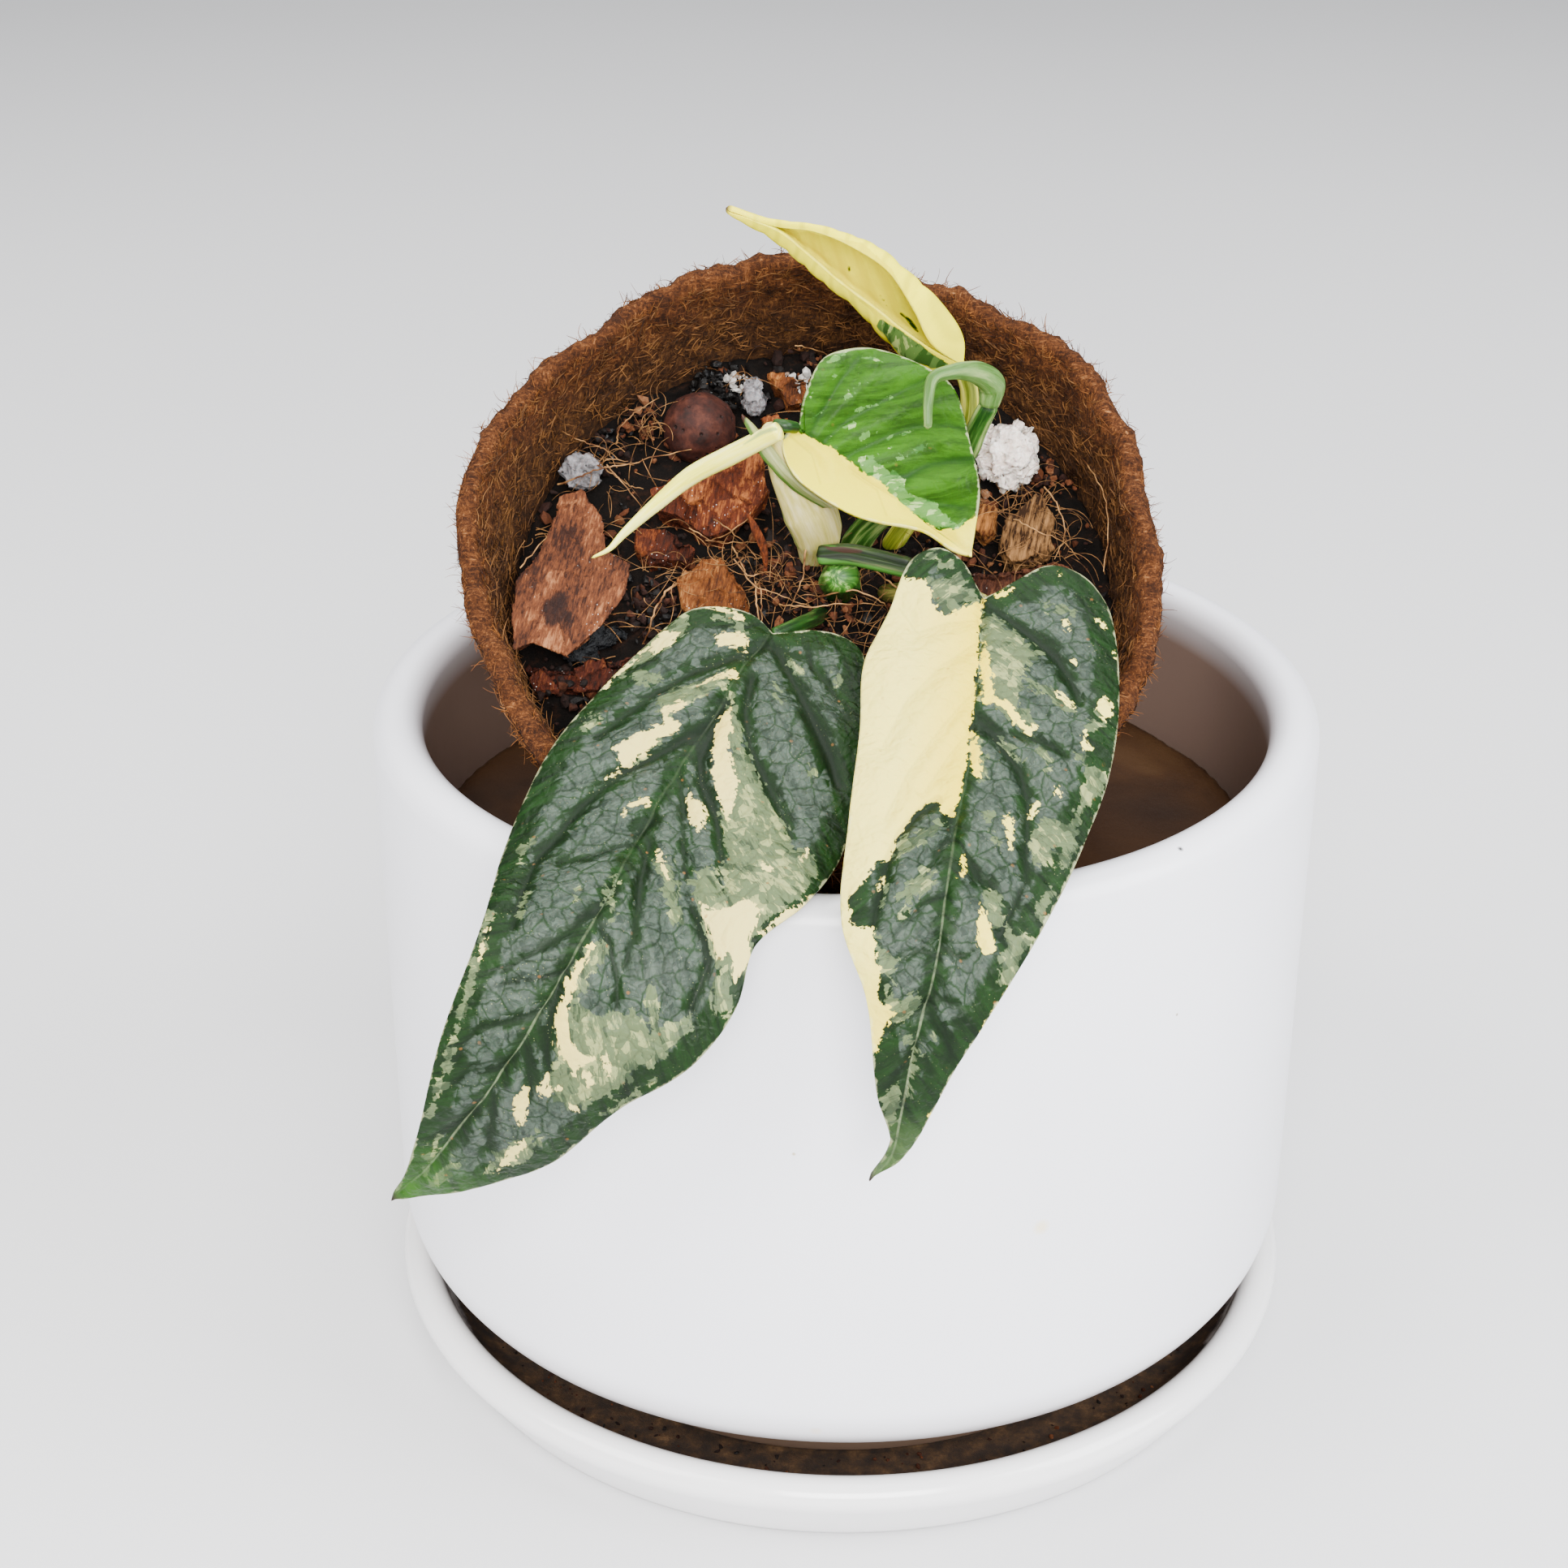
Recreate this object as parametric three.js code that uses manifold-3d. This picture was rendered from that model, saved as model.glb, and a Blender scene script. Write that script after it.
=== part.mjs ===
// Potted variegated Monstera siltepecana: a young plant in a torn coir fibre pot,
// tilted in a white glazed cylinder planter that stands on its own saucer.
// Millimetres, +Z up. The origin is on the planter's axis at the saucer's underside, and -Y faces the viewer.
import * as THREE from 'three';
import { mergeVertices } from 'three/addons/utils/BufferGeometryUtils.js';
import Module from 'manifold-3d';

const wasm = await Module();
wasm.setup();

// Sizes of the saucer and the planter
const GAP = 0.3;
const ROUND_SEGMENTS = 56;
const SAUCER_RADIUS = 77;
const SAUCER_HEIGHT = 14.2;
const SAUCER_LIP = 3;
const SAUCER_BASE_RADIUS = 70.7;
const SAUCER_FLOOR = 4;
const PLANTER_RADIUS = 76;
const PLANTER_TOP = 115.2;
const PLANTER_WALL = 7.9;
const PLANTER_BODY_BOTTOM = 16.7;
const PLANTER_BOTTOM_ROUND = 12;
const FOOT_OUTER = 56;
const FOOT_INNER = 48;
const PLANTER_FLOOR = 25;
const INNER_CORNER = 6;
const DRAIN_RADIUS = 7;
const FILL_TOP = 89;

// Sizes of the coir pot, in its own frame with its base at height 0
const POT_TILT = THREE.MathUtils.degToRad(37.7);
const POT_HEIGHT = 80;
const POT_MOUTH_RADIUS = 54;
const POT_FLARE = 0.17;
const POT_WALL = 3.6;
const POT_BASE = 4;
const MIX_DEPTH = 18;
// How far the torn rim bulges out, in degrees round the mouth from the right-hand side and millimetres
const RIM_BULGES = [[-60, 0], [-30, 1], [-10, -0.8], [10, -2.6], [24, -0.4], [40, 0.3], [55, -1.4],
  [70, -1], [85, 0.4],
  [120, 0.5], [131, -1.2], [144, 0.5], [168, 1.4], [185, 0], [203, -1], [225, 0.8], [260, 0], [300, 0]];
const MOUTH_CENTRE = new THREE.Vector3(-5.3, -15.8, 146.1);
const POT_AXIS = new THREE.Vector3(0, -Math.sin(POT_TILT), Math.cos(POT_TILT));
const MIX_CENTRE = MOUTH_CENTRE.clone().addScaledVector(POT_AXIS, -MIX_DEPTH);

// The photograph's viewpoint, which places what is read off it by eye.
// Columns and rows are in the photo's 1932 x 1932 frame, and focal is the lens's length in its pixels.
const VIEW = {
  focal: 3400,
  centre: 966,
  eye: new THREE.Vector3(-9.9, -407.4, 298.6),
  dip: THREE.MathUtils.degToRad(26.31),
};

// Leaves: photo column and row of the midrib and of both margins, from the notch to the tip.
// Depths give the y of the blade at photo rows, a third number moves a point back from it, and lobe is
// the share of a margin behind the midrib's start. A fold is a line that the blade bends round.
const LEAF_THICKNESS = 0.7;
const LEAVES = {
  leaf_left: {
    depths: [[745, -24], [787, -28], [850, -38], [900, -46], [974, -56], [1053, -67], [1098, -75.5],
      [1138, -81], [1212, -87], [1302, -90], [1382, -89], [1451, -85], [1480, -83]],
    midrib: [[948, 789], [913, 834], [873, 904], [828, 974], [783, 1053], [738, 1138], [694, 1212],
      [639, 1302], [579, 1382], [515, 1451], [482, 1479]],
    left: [[952, 783], [927, 760], [888, 749], [853, 752], [823, 772], [758, 834], [684, 919], [629, 1028],
      [594, 1143], [544, 1277], [517, 1387], [495, 1456], [482, 1479]],
    right: [[952, 783], [980, 783], [1002, 779], [1037, 785], [1062, 806], [1066, 869], [1060, 969],
      [1037, 1053], [992, 1113], [930, 1166], [908, 1240], [853, 1312], [758, 1369], [679, 1431],
      [589, 1461], [482, 1479]],
    lobe: 0.16,
    cup: -2.2,
    color: 0x2f4a33,
  },
  leaf_right: {
    depths: [[676, -24], [746, -31], [817, -42], [885, -52], [948, -60], [1016, -69], [1078, -77],
      [1110, -81], [1199, -88], [1277, -91], [1377, -91], [1455, -89]],
    midrib: [[1209, 746], [1207, 817], [1199, 885], [1194, 948], [1180, 1016], [1165, 1110], [1152, 1199],
      [1131, 1277], [1110, 1377], [1097, 1429], [1071, 1455]],
    left: [[1212, 738], [1199, 718], [1183, 691], [1157, 676], [1125, 689], [1094, 759], [1065, 820],
      [1060, 900], [1046, 1016], [1038, 1141], [1068, 1230], [1081, 1350], [1097, 1405], [1071, 1455]],
    right: [[1212, 738], [1235, 728], [1262, 712], [1288, 699], [1314, 701], [1340, 715], [1361, 744],
      [1376, 800], [1376, 900], [1361, 974], [1319, 1078], [1277, 1157], [1225, 1241], [1173, 1324],
      [1110, 1428], [1071, 1455]],
    lobe: 0.14,
    cup: -1.6,
    color: 0x8d9a70,
  },
  leaf_middle: {
    depths: [[425, -3], [530, -10], [610, -14], [690, -18]],
    midrib: [[990, 531], [1056, 580], [1110, 616], [1145, 646], [1175, 668], [1196, 685]],
    left: [[984, 526], [993, 484], [1014, 442], [1050, 429], [1080, 430], [1145, 454], [1175, 478],
      [1194, 540], [1207, 604], [1202, 650], [1196, 685]],
    right: [[984, 526], [968, 536], [964, 552], [978, 585], [1008, 610], [1050, 634], [1080, 643],
      [1139, 655], [1175, 679], [1196, 685]],
    lobe: 0.08,
    cup: 2.4,
    color: 0x7fa64e,
  },
  leaf_upper: {
    depths: [[255, -1], [300, 2], [445, 3]],
    midrib: [[1180, 446, 1], [1148, 426, 3], [1100, 392, 5], [1056, 358, 5], [1010, 320, 4],
      [966, 288, 2], [896, 257]],
    left: [[1186, 450], [1147, 428, -1.5], [1110, 403, -2.5], [1060, 366, -2.5], [1010, 325, -2],
      [962, 286, -1],
      [896, 257]],
    leftFold: [[1186, 450], [1147, 455], [1096, 418], [1056, 377], [1006, 337], [957, 296], [896, 257]],
    right: [[1186, 450], [1147, 424, -2], [1127, 385, -2.5], [1098, 339, -2.5], [1059, 310, -2],
      [1006, 286, -1],
      [957, 279, -0.5], [896, 257]],
    rightFold: [[1186, 450], [1181, 419], [1147, 364], [1110, 330], [1055, 295], [1006, 278],
      [941, 270], [896, 257]],
    lobe: 0.03,
    cup: 0,
    color: 0xe9e07a,
  },
};

// Stalks: photo column and row, height over the mix's surface, and radius
const STALK_SIDES = 8;
const STALKS = {
  leaf_sheath: {
    route: [[949, 531, 27, 1.3], [970, 580, 20, 2.8], [997, 628, 12, 4.3], [1008, 658, 6, 4],
      [1006, 684, 0, 2.8]],
    depthShare: 0.7,
    color: 0xe4e6c4,
  },
  stem_node: {
    route: [[1033, 722, -4, 3.2], [1035, 716, 2, 3.3], [1037, 710, 7, 2.7]],
    depthShare: 1,
    color: 0x5c8a3a,
  },
  cut_petiole: {
    route: [[1008, 696, 9, 1.9], [1045, 692, 10.5, 1.9], [1080, 698, 11, 1.9], [1117, 703, 11.5, 1.8]],
    depthShare: 0.8,
    color: 0x3f6f2a,
  },
  petiole_shoot: {
    route: [[1218, 500, 27.1, 1.4], [1205, 526, 23, 1.5], [1190, 560, 18, 1.5], [1140, 606, 12, 1.6],
      [1080, 640, 7, 1.9], [1056, 668, 1, 2.2], [1052, 680, -3, 2.2]],
    depthShare: 1,
    color: 0x6f9a45,
  },
  petiole_upper: {
    route: [[1187, 455, 24, 1.3], [1194, 480, 21, 1.3], [1192, 515, 17, 1.4], [1170, 556, 12, 1.4],
      [1140, 610, 7, 1.5], [1104, 664, 1, 1.6], [1096, 676, -3, 1.6]],
    depthShare: 1,
    color: 0xb9c46a,
  },
  petiole_middle: {
    route: [[980, 527, 27.7, 0.9], [968, 525, 29, 1], [956, 524, 28.6, 1]],
    depthShare: 1,
    color: 0x6f9a45,
  },
  petiole_left: {
    route: [[955, 782, 16.1, 1.1], [978, 772, 14, 1.1], [1000, 764, 7, 1.3], [1012, 756, -3, 1.4]],
    depthShare: 1,
    color: 0x3f5f2e,
  },
  petiole_right: {
    route: [[1211, 741, 22.8, 1.1], [1184, 730, 18, 1.2], [1146, 726, 10, 1.4], [1104, 730, 2.5, 1.5],
      [1088, 732, -3, 1.5]],
    depthShare: 1,
    color: 0xa3a06a,
  },
  rolled_leaf: {
    route: [[962, 534, 30.7, 1.7], [900, 565, 25, 1.75], [852, 586, 21, 1.6], [810, 622, 18, 1.3],
      [768, 658, 15, 0.9],
      [750, 679, 14, 0.6], [732, 686, 13.5, 0.3]],
    depthShare: 1,
    color: 0xeef0b8,
  },
  curled_shoot: {
    route: [[1219, 497, 28.4, 1.6], [1222, 474, 31, 2.1], [1208, 461, 34, 1.8], [1188, 457, 36.5, 1.4],
      [1168, 459, 38, 1.1], [1150, 466, 38.5, 1], [1144, 492, 38, 0.8], [1143, 524, 36.5, 0.6]],
    depthShare: 1,
    color: 0xb7cf96,
  },
};

// Chips: corners as photo column and row with their height over the mix, and the chip's thickness
const CHIPS = {
  bark_slab: {
    corners: [[718, 600, 6], [745, 640, 6], [750, 675, 6], [780, 692, 5.5], [775, 730, 6], [745, 770, 7],
      [700, 810, 8], [655, 792, 10], [630, 804, 10.5], [627, 760, 11], [633, 710, 10.5],
        [660, 680, 9], [690, 610, 7]],
    thickness: 2.6,
    color: 0x8a4a33,
  },
  bark_chunk: {
    corners: [[800, 602, 5], [850, 580, 7], [905, 566, 8], [935, 560, 8], [946, 600, 7], [912, 650, 6],
      [870, 664, 5], [832, 636, 5], [806, 628, 5]],
    thickness: 7,
    color: 0xa05630,
  },
  bark_chunk_lower: {
    corners: [[786, 650, 3], [824, 648, 4], [860, 676, 4], [850, 692, 3.5], [800, 690, 2.5],
      [784, 672, 2.5]],
    thickness: 5,
    color: 0x7d3a22,
  },
  bark_chip_front: {
    corners: [[836, 716, 4], [862, 684, 5], [888, 682, 5], [922, 728, 5], [928, 770, 4],
      [884, 768, 3.5], [842, 748, 3.5]],
    thickness: 5,
    color: 0xb9773f,
  },
  bark_chip_back: {
    corners: [[946, 460, 3], [996, 462, 4], [1000, 496, 3.5], [968, 502, 2.5]],
    thickness: 4,
    color: 0xa4653c,
  },
  bark_chip_small: {
    corners: [[934, 514, 4], [958, 504, 5], [970, 518, 5], [944, 522, 4]],
    thickness: 3.5,
    color: 0xb0603a,
  },
  bark_chip_right: {
    corners: [[1192, 700, 4], [1236, 700, 5], [1300, 690, 5], [1322, 700, 4], [1296, 726, 4],
      [1226, 744, 3.5], [1196, 728, 3.5]],
    thickness: 3.5,
    color: 0x8c5340,
  },
  bark_chip_low: {
    corners: [[640, 816, 3], [700, 822, 3], [770, 806, 3], [806, 790, 2.5], [800, 826, 2],
      [740, 852, 2], [660, 850, 2]],
    thickness: 4,
    color: 0x6b2c1c,
  },
  husk_chip_large: {
    corners: [[1236, 640, 6], [1284, 606, 7], [1300, 640, 6], [1300, 676, 5], [1244, 694, 5],
      [1232, 672, 5]],
    thickness: 5,
    color: 0xa07748,
  },
  husk_chip_small: {
    corners: [[1200, 622, 4], [1228, 618, 5], [1230, 650, 4.5], [1216, 662, 4], [1200, 650, 4]],
    thickness: 4,
    color: 0xc08043,
  },
};

// Lumps: photo column and row and height over the mix of the centre, sizes across, up the slope and over it
const LUMPS = {
  clay_ball: { centre: [862, 528, 2.5], sizes: [12, 12, 11.5], rough: 0.02, detail: 2, color: 0x6e3b30 },
  pumice_right: { centre: [1243, 558, 5], sizes: [10.6, 12, 10], rough: 0.12, detail: 2, color: 0xd9cfc8 },
  pumice_back: { centre: [929, 488, 3], sizes: [4.2, 7.6, 5], rough: 0.1, detail: 1, color: 0xc4c1bd },
  pumice_left: { centre: [718, 580, 3.2], sizes: [7.4, 6.4, 5.5], rough: 0.1, detail: 1, color: 0xb3aca2 },
  charcoal: { centre: [735, 792, 2], sizes: [11, 4.6, 4.6], rough: 0.1, detail: 1, turn: 0.5, color: 0x0d0f12 },
};

// Point on the sight line of a photo column and row, at the depth y
function seen(column, row, y) {
  const across = (column - VIEW.centre) / VIEW.focal;
  const up = (VIEW.centre - row) / VIEW.focal;
  const ray = new THREE.Vector3(across,
    Math.cos(VIEW.dip) + up * Math.sin(VIEW.dip),
    up * Math.cos(VIEW.dip) - Math.sin(VIEW.dip));
  return VIEW.eye.clone().addScaledVector(ray, (y - VIEW.eye.y) / ray.y);
}

// Point on the sight line of a photo column and row, at a height over the mix's surface
function overMix([column, row, height]) {
  const near = seen(column, row, 0);
  const ray = near.clone().sub(VIEW.eye).normalize();
  const reach = height - near.clone().sub(MIX_CENTRE).dot(POT_AXIS);
  return near.addScaledVector(ray, reach / ray.dot(POT_AXIS));
}

// Straight-line reading of a table of [position, value] rows
function readTable(table, position) {
  const next = table.findIndex(([place]) => place >= position);
  if (next === 0) return table[0][1];
  if (next < 0) return table[table.length - 1][1];
  const [a, b] = [table[next - 1], table[next]];
  return THREE.MathUtils.mapLinear(position, a[0], b[0], a[1], b[1]);
}

const smoothCurve = (points) => new THREE.CatmullRomCurve3(points, false, 'centripetal');

// One closed body from points and triangles, with the points that coincide joined
function body(points, triangles) {
  const geometry = new THREE.BufferGeometry();
  const flat = points.flatMap((point) => point.toArray());
  geometry.setAttribute('position', new THREE.Float32BufferAttribute(flat, 3));
  geometry.setIndex(triangles);
  return welded(geometry);
}

// The same geometry with shared points and without triangles that have collapsed
function welded(geometry) {
  const bare = new THREE.BufferGeometry();
  bare.setAttribute('position', geometry.getAttribute('position').clone());
  if (geometry.index) bare.setIndex(geometry.index.clone());
  const joined = mergeVertices(bare, 1e-3);
  const kept = [];
  const index = joined.index.array;
  for (let i = 0; i < index.length; i += 3) {
    const [a, b, c] = [index[i], index[i + 1], index[i + 2]];
    if (a !== b && b !== c && c !== a) kept.push(a, b, c);
  }
  joined.setIndex(kept);
  return joined;
}

// The same body with its faces moved outwards by about a distance, and its sharp corners by more
function swollen(geometry, distance) {
  const SHARPEST = 0.3;
  const result = welded(geometry);
  result.computeVertexNormals();
  const position = result.getAttribute('position');
  const normal = result.getAttribute('normal');
  const index = result.index.array;
  const lean = new Array(position.count).fill(1);
  const corners = [new THREE.Vector3(), new THREE.Vector3(), new THREE.Vector3()];
  const facing = new THREE.Vector3();
  const outwards = new THREE.Vector3();
  for (let i = 0; i < index.length; i += 3) {
    corners.forEach((corner, k) => corner.fromBufferAttribute(position, index[i + k]));
    THREE.Triangle.getNormal(...corners, facing);
    for (let k = 0; k < 3; k += 1) {
      outwards.fromBufferAttribute(normal, index[i + k]);
      lean[index[i + k]] = Math.max(SHARPEST, Math.min(lean[index[i + k]], outwards.dot(facing)));
    }
  }
  for (let i = 0; i < position.count; i += 1) {
    const step = distance / lean[i];
    position.setXYZ(i,
      position.getX(i) + step * normal.getX(i),
      position.getY(i) + step * normal.getY(i),
      position.getZ(i) + step * normal.getZ(i));
  }
  result.deleteAttribute('normal');
  return result;
}

function toManifold(geometry) {
  const clean = welded(geometry);
  return new wasm.Manifold(new wasm.Mesh({
    numProp: 3,
    vertProperties: new Float32Array(clean.getAttribute('position').array),
    triVerts: new Uint32Array(clean.index.array),
  }));
}

function fromManifold(manifold) {
  const mesh = manifold.getMesh();
  const geometry = new THREE.BufferGeometry();
  geometry.setAttribute('position', new THREE.BufferAttribute(new Float32Array(mesh.vertProperties), 3));
  geometry.setIndex([...mesh.triVerts]);
  return geometry;
}

// What is left of a solid once room is made for the pieces that sit in it
function withPockets(geometry, pieces) {
  let solid = toManifold(geometry);
  for (const piece of pieces) solid = solid.subtract(toManifold(piece));
  return fromManifold(solid);
}

// Quarter arc of a lathe profile, from one angle to another about a centre
function arc(radius, height, round, from, to, steps = 5) {
  return Array.from({ length: steps + 1 }, (_, i) => {
    const angle = THREE.MathUtils.degToRad(THREE.MathUtils.lerp(from, to, i / steps));
    return new THREE.Vector2(radius + round * Math.cos(angle), height + round * Math.sin(angle));
  });
}

// A lathe turns about its own Y, which is stood up along Z
function turned(profile, segments = ROUND_SEGMENTS) {
  return welded(new THREE.LatheGeometry(profile, segments).rotateX(Math.PI / 2));
}

function saucer() {
  const lipCentre = SAUCER_RADIUS - SAUCER_LIP;
  const lipHeight = SAUCER_HEIGHT - SAUCER_LIP;
  const profile = [
    new THREE.Vector2(0, 0),
    new THREE.Vector2(SAUCER_BASE_RADIUS - 1.5, 0),
    new THREE.Vector2(SAUCER_BASE_RADIUS, 1),
    ...arc(lipCentre, lipHeight, SAUCER_LIP, -35, 180, 9),
    new THREE.Vector2(67.5, 6.2),
    new THREE.Vector2(64, SAUCER_FLOOR),
    new THREE.Vector2(0, SAUCER_FLOOR),
  ];
  return turned(profile);
}

function planter() {
  const lip = PLANTER_WALL / 2;
  const inner = PLANTER_RADIUS - PLANTER_WALL;
  const footBottom = SAUCER_FLOOR + GAP;
  const profile = [
    new THREE.Vector2(DRAIN_RADIUS, PLANTER_FLOOR),
    new THREE.Vector2(DRAIN_RADIUS, PLANTER_BODY_BOTTOM),
    new THREE.Vector2(FOOT_INNER, PLANTER_BODY_BOTTOM),
    new THREE.Vector2(FOOT_INNER, footBottom),
    new THREE.Vector2(FOOT_OUTER - 1, footBottom),
    new THREE.Vector2(FOOT_OUTER, footBottom + 1),
    new THREE.Vector2(FOOT_OUTER, PLANTER_BODY_BOTTOM),
    ...arc(PLANTER_RADIUS - PLANTER_BOTTOM_ROUND, PLANTER_BODY_BOTTOM + PLANTER_BOTTOM_ROUND,
      PLANTER_BOTTOM_ROUND, -90, 0, 6),
    ...arc(PLANTER_RADIUS - lip, PLANTER_TOP - lip, lip, 0, 180, 8),
    ...arc(inner - INNER_CORNER, PLANTER_FLOOR + INNER_CORNER, INNER_CORNER, 0, -90, 3),
    new THREE.Vector2(DRAIN_RADIUS, PLANTER_FLOOR),
  ];
  return turned(profile);
}

// Outer radius of the coir pot at a height over its base
const potRadius = (height) => POT_MOUTH_RADIUS - POT_FLARE * (POT_HEIGHT - height);

// How much higher the torn rim stands at an angle round the pot
const rimRise = (angle) => 0.5 * Math.sin(2 * angle + 0.6)
  + 0.5 * Math.sin(5 * angle)
  + 0.3 * Math.sin(9 * angle + 1);

// From the coir pot's own frame to its tilted place
function tilted(geometry) {
  const base = MOUTH_CENTRE.clone().addScaledVector(POT_AXIS, -POT_HEIGHT);
  return geometry.rotateX(POT_TILT).translate(base.x, base.y, base.z);
}

function coirPot() {
  const profile = [
    new THREE.Vector2(0, 0),
    new THREE.Vector2(potRadius(0) - 2, 0),
    new THREE.Vector2(potRadius(0), 2),
    new THREE.Vector2(potRadius(40), 40),
    new THREE.Vector2(potRadius(66), 66),
    new THREE.Vector2(POT_MOUTH_RADIUS, POT_HEIGHT - 1),
    new THREE.Vector2(POT_MOUTH_RADIUS - POT_WALL / 2, POT_HEIGHT),
    new THREE.Vector2(POT_MOUTH_RADIUS - POT_WALL, POT_HEIGHT - 1),
    new THREE.Vector2(potRadius(66) - POT_WALL, 66),
    new THREE.Vector2(potRadius(40) - POT_WALL, 40),
    new THREE.Vector2(potRadius(POT_BASE) - POT_WALL, POT_BASE),
    new THREE.Vector2(0, POT_BASE),
  ];
  const geometry = turned(profile, 48);
  const position = geometry.getAttribute('position');
  const point = new THREE.Vector3();
  for (let i = 0; i < position.count; i += 1) {
    point.fromBufferAttribute(position, i);
    const angle = Math.atan2(point.y, point.x);
    const degrees = THREE.MathUtils.euclideanModulo(THREE.MathUtils.radToDeg(angle) + 60, 360) - 60;
    const share = THREE.MathUtils.smoothstep(point.z, POT_HEIGHT - MIX_DEPTH, POT_HEIGHT);
    const wider = 1 + (share * readTable(RIM_BULGES, degrees)) / POT_MOUTH_RADIUS;
    position.setXYZ(i, point.x * wider, point.y * wider, point.z + share * rimRise(angle));
  }
  return tilted(geometry);
}

// The room that the coir pot takes in the fill
function coirPotHull() {
  const top = POT_HEIGHT - 10;
  return tilted(turned([
    new THREE.Vector2(0, -GAP),
    new THREE.Vector2(potRadius(0) - 2, -GAP),
    new THREE.Vector2(potRadius(0) + GAP, 2 - GAP),
    new THREE.Vector2(potRadius(top) + GAP, top),
    new THREE.Vector2(0, top),
  ], 48));
}

function planterFill() {
  const radius = PLANTER_RADIUS - PLANTER_WALL - GAP;
  const profile = [
    new THREE.Vector2(0, PLANTER_FLOOR + GAP),
    ...arc(radius - INNER_CORNER, PLANTER_FLOOR + GAP + INNER_CORNER, INNER_CORNER, -90, 0, 3),
    new THREE.Vector2(radius, FILL_TOP),
    new THREE.Vector2(0, FILL_TOP),
  ];
  return withPockets(turned(profile), [coirPotHull()]);
}

function pottingMix(pieces) {
  const top = POT_HEIGHT - MIX_DEPTH;
  const innerRadius = (height) => potRadius(height) - POT_WALL - GAP;
  const profile = [
    new THREE.Vector2(0, POT_BASE + GAP),
    new THREE.Vector2(innerRadius(POT_BASE), POT_BASE + GAP),
    new THREE.Vector2(innerRadius(top - 1) - 0.3, top - 1),
    new THREE.Vector2(innerRadius(top) - 5, top),
    new THREE.Vector2(0, top),
  ];
  return withPockets(tilted(turned(profile, 40)), pieces.map((piece) => swollen(piece, GAP)));
}

// A leaf blade: rungs run from the midrib out to both margins, and two skins meet at the margins
function leafBlade({ depths, midrib, left, right, leftFold, rightFold, lobe, cup }) {
  const RUNGS = 18;
  const STEPS = 4;
  const FOLD_SHARE = 0.6;
  const place = ([column, row, back = 0]) => seen(column, row, readTable(depths, row) + back);
  const line = (points) => points && smoothCurve(points.map(place));
  const rib = line(midrib);
  const margins = [line(left), line(right)];
  const folds = [line(leftFold), line(rightFold)];
  const width = 2 * STEPS + 1;
  const middle = [];
  for (let i = 0; i <= RUNGS; i += 1) {
    const u = i / RUNGS;
    const root = rib.getPointAt(Math.max(0, (u - lobe) / (1 - lobe)));
    for (let j = -STEPS; j <= STEPS; j += 1) {
      const s = Math.abs(j) / STEPS;
      const side = j < 0 ? 0 : 1;
      const edge = margins[side].getPointAt(u);
      const point = root.clone().lerp(edge, s);
      if (folds[side]) {
        const fold = folds[side].getPointAt(u).sub(root.clone().lerp(edge, FOLD_SHARE));
        point.addScaledVector(fold, (s * (1 - s)) / (FOLD_SHARE * (1 - FOLD_SHARE)));
      }
      middle.push(point);
    }
  }
  const at = (i, j) => middle[i * width + j];
  const facing = (i, j) => {
    const along = at(Math.min(i + 1, RUNGS), j).clone().sub(at(Math.max(i - 1, 0), j));
    const across = at(i, Math.min(j + 1, width - 1)).clone().sub(at(i, Math.max(j - 1, 0)));
    return across.cross(along).normalize();
  };
  const out = facing(RUNGS / 2, STEPS);
  const turn = out.dot(VIEW.eye.clone().sub(at(RUNGS / 2, STEPS))) < 0 ? -1 : 1;
  const points = [];
  const triangles = [];
  for (const skin of [turn, -turn]) {
    for (let i = 0; i <= RUNGS; i += 1) {
      const u = i / RUNGS;
      for (let j = 0; j < width; j += 1) {
        const s = Math.abs(j - STEPS) / STEPS;
        const bulge = turn * cup * Math.sin(Math.PI * u) * (s * s - 1);
        const half = (LEAF_THICKNESS / 2) * (1 - s ** 4) * (1 - u ** 6);
        points.push(at(i, j).clone()
          .addScaledVector(out, bulge)
          .addScaledVector(i === 0 ? out : facing(i, j), skin * half));
      }
    }
  }
  const sheet = (RUNGS + 1) * width;
  for (let i = 0; i < RUNGS; i += 1) {
    for (let j = 0; j < width - 1; j += 1) {
      const a = i * width + j;
      const [b, c, d] = [a + 1, a + width, a + width + 1];
      triangles.push(a, c, b, b, c, d);
      triangles.push(a + sheet, b + sheet, c + sheet, b + sheet, d + sheet, c + sheet);
    }
  }
  return outward(body(points, triangles));
}

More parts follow.
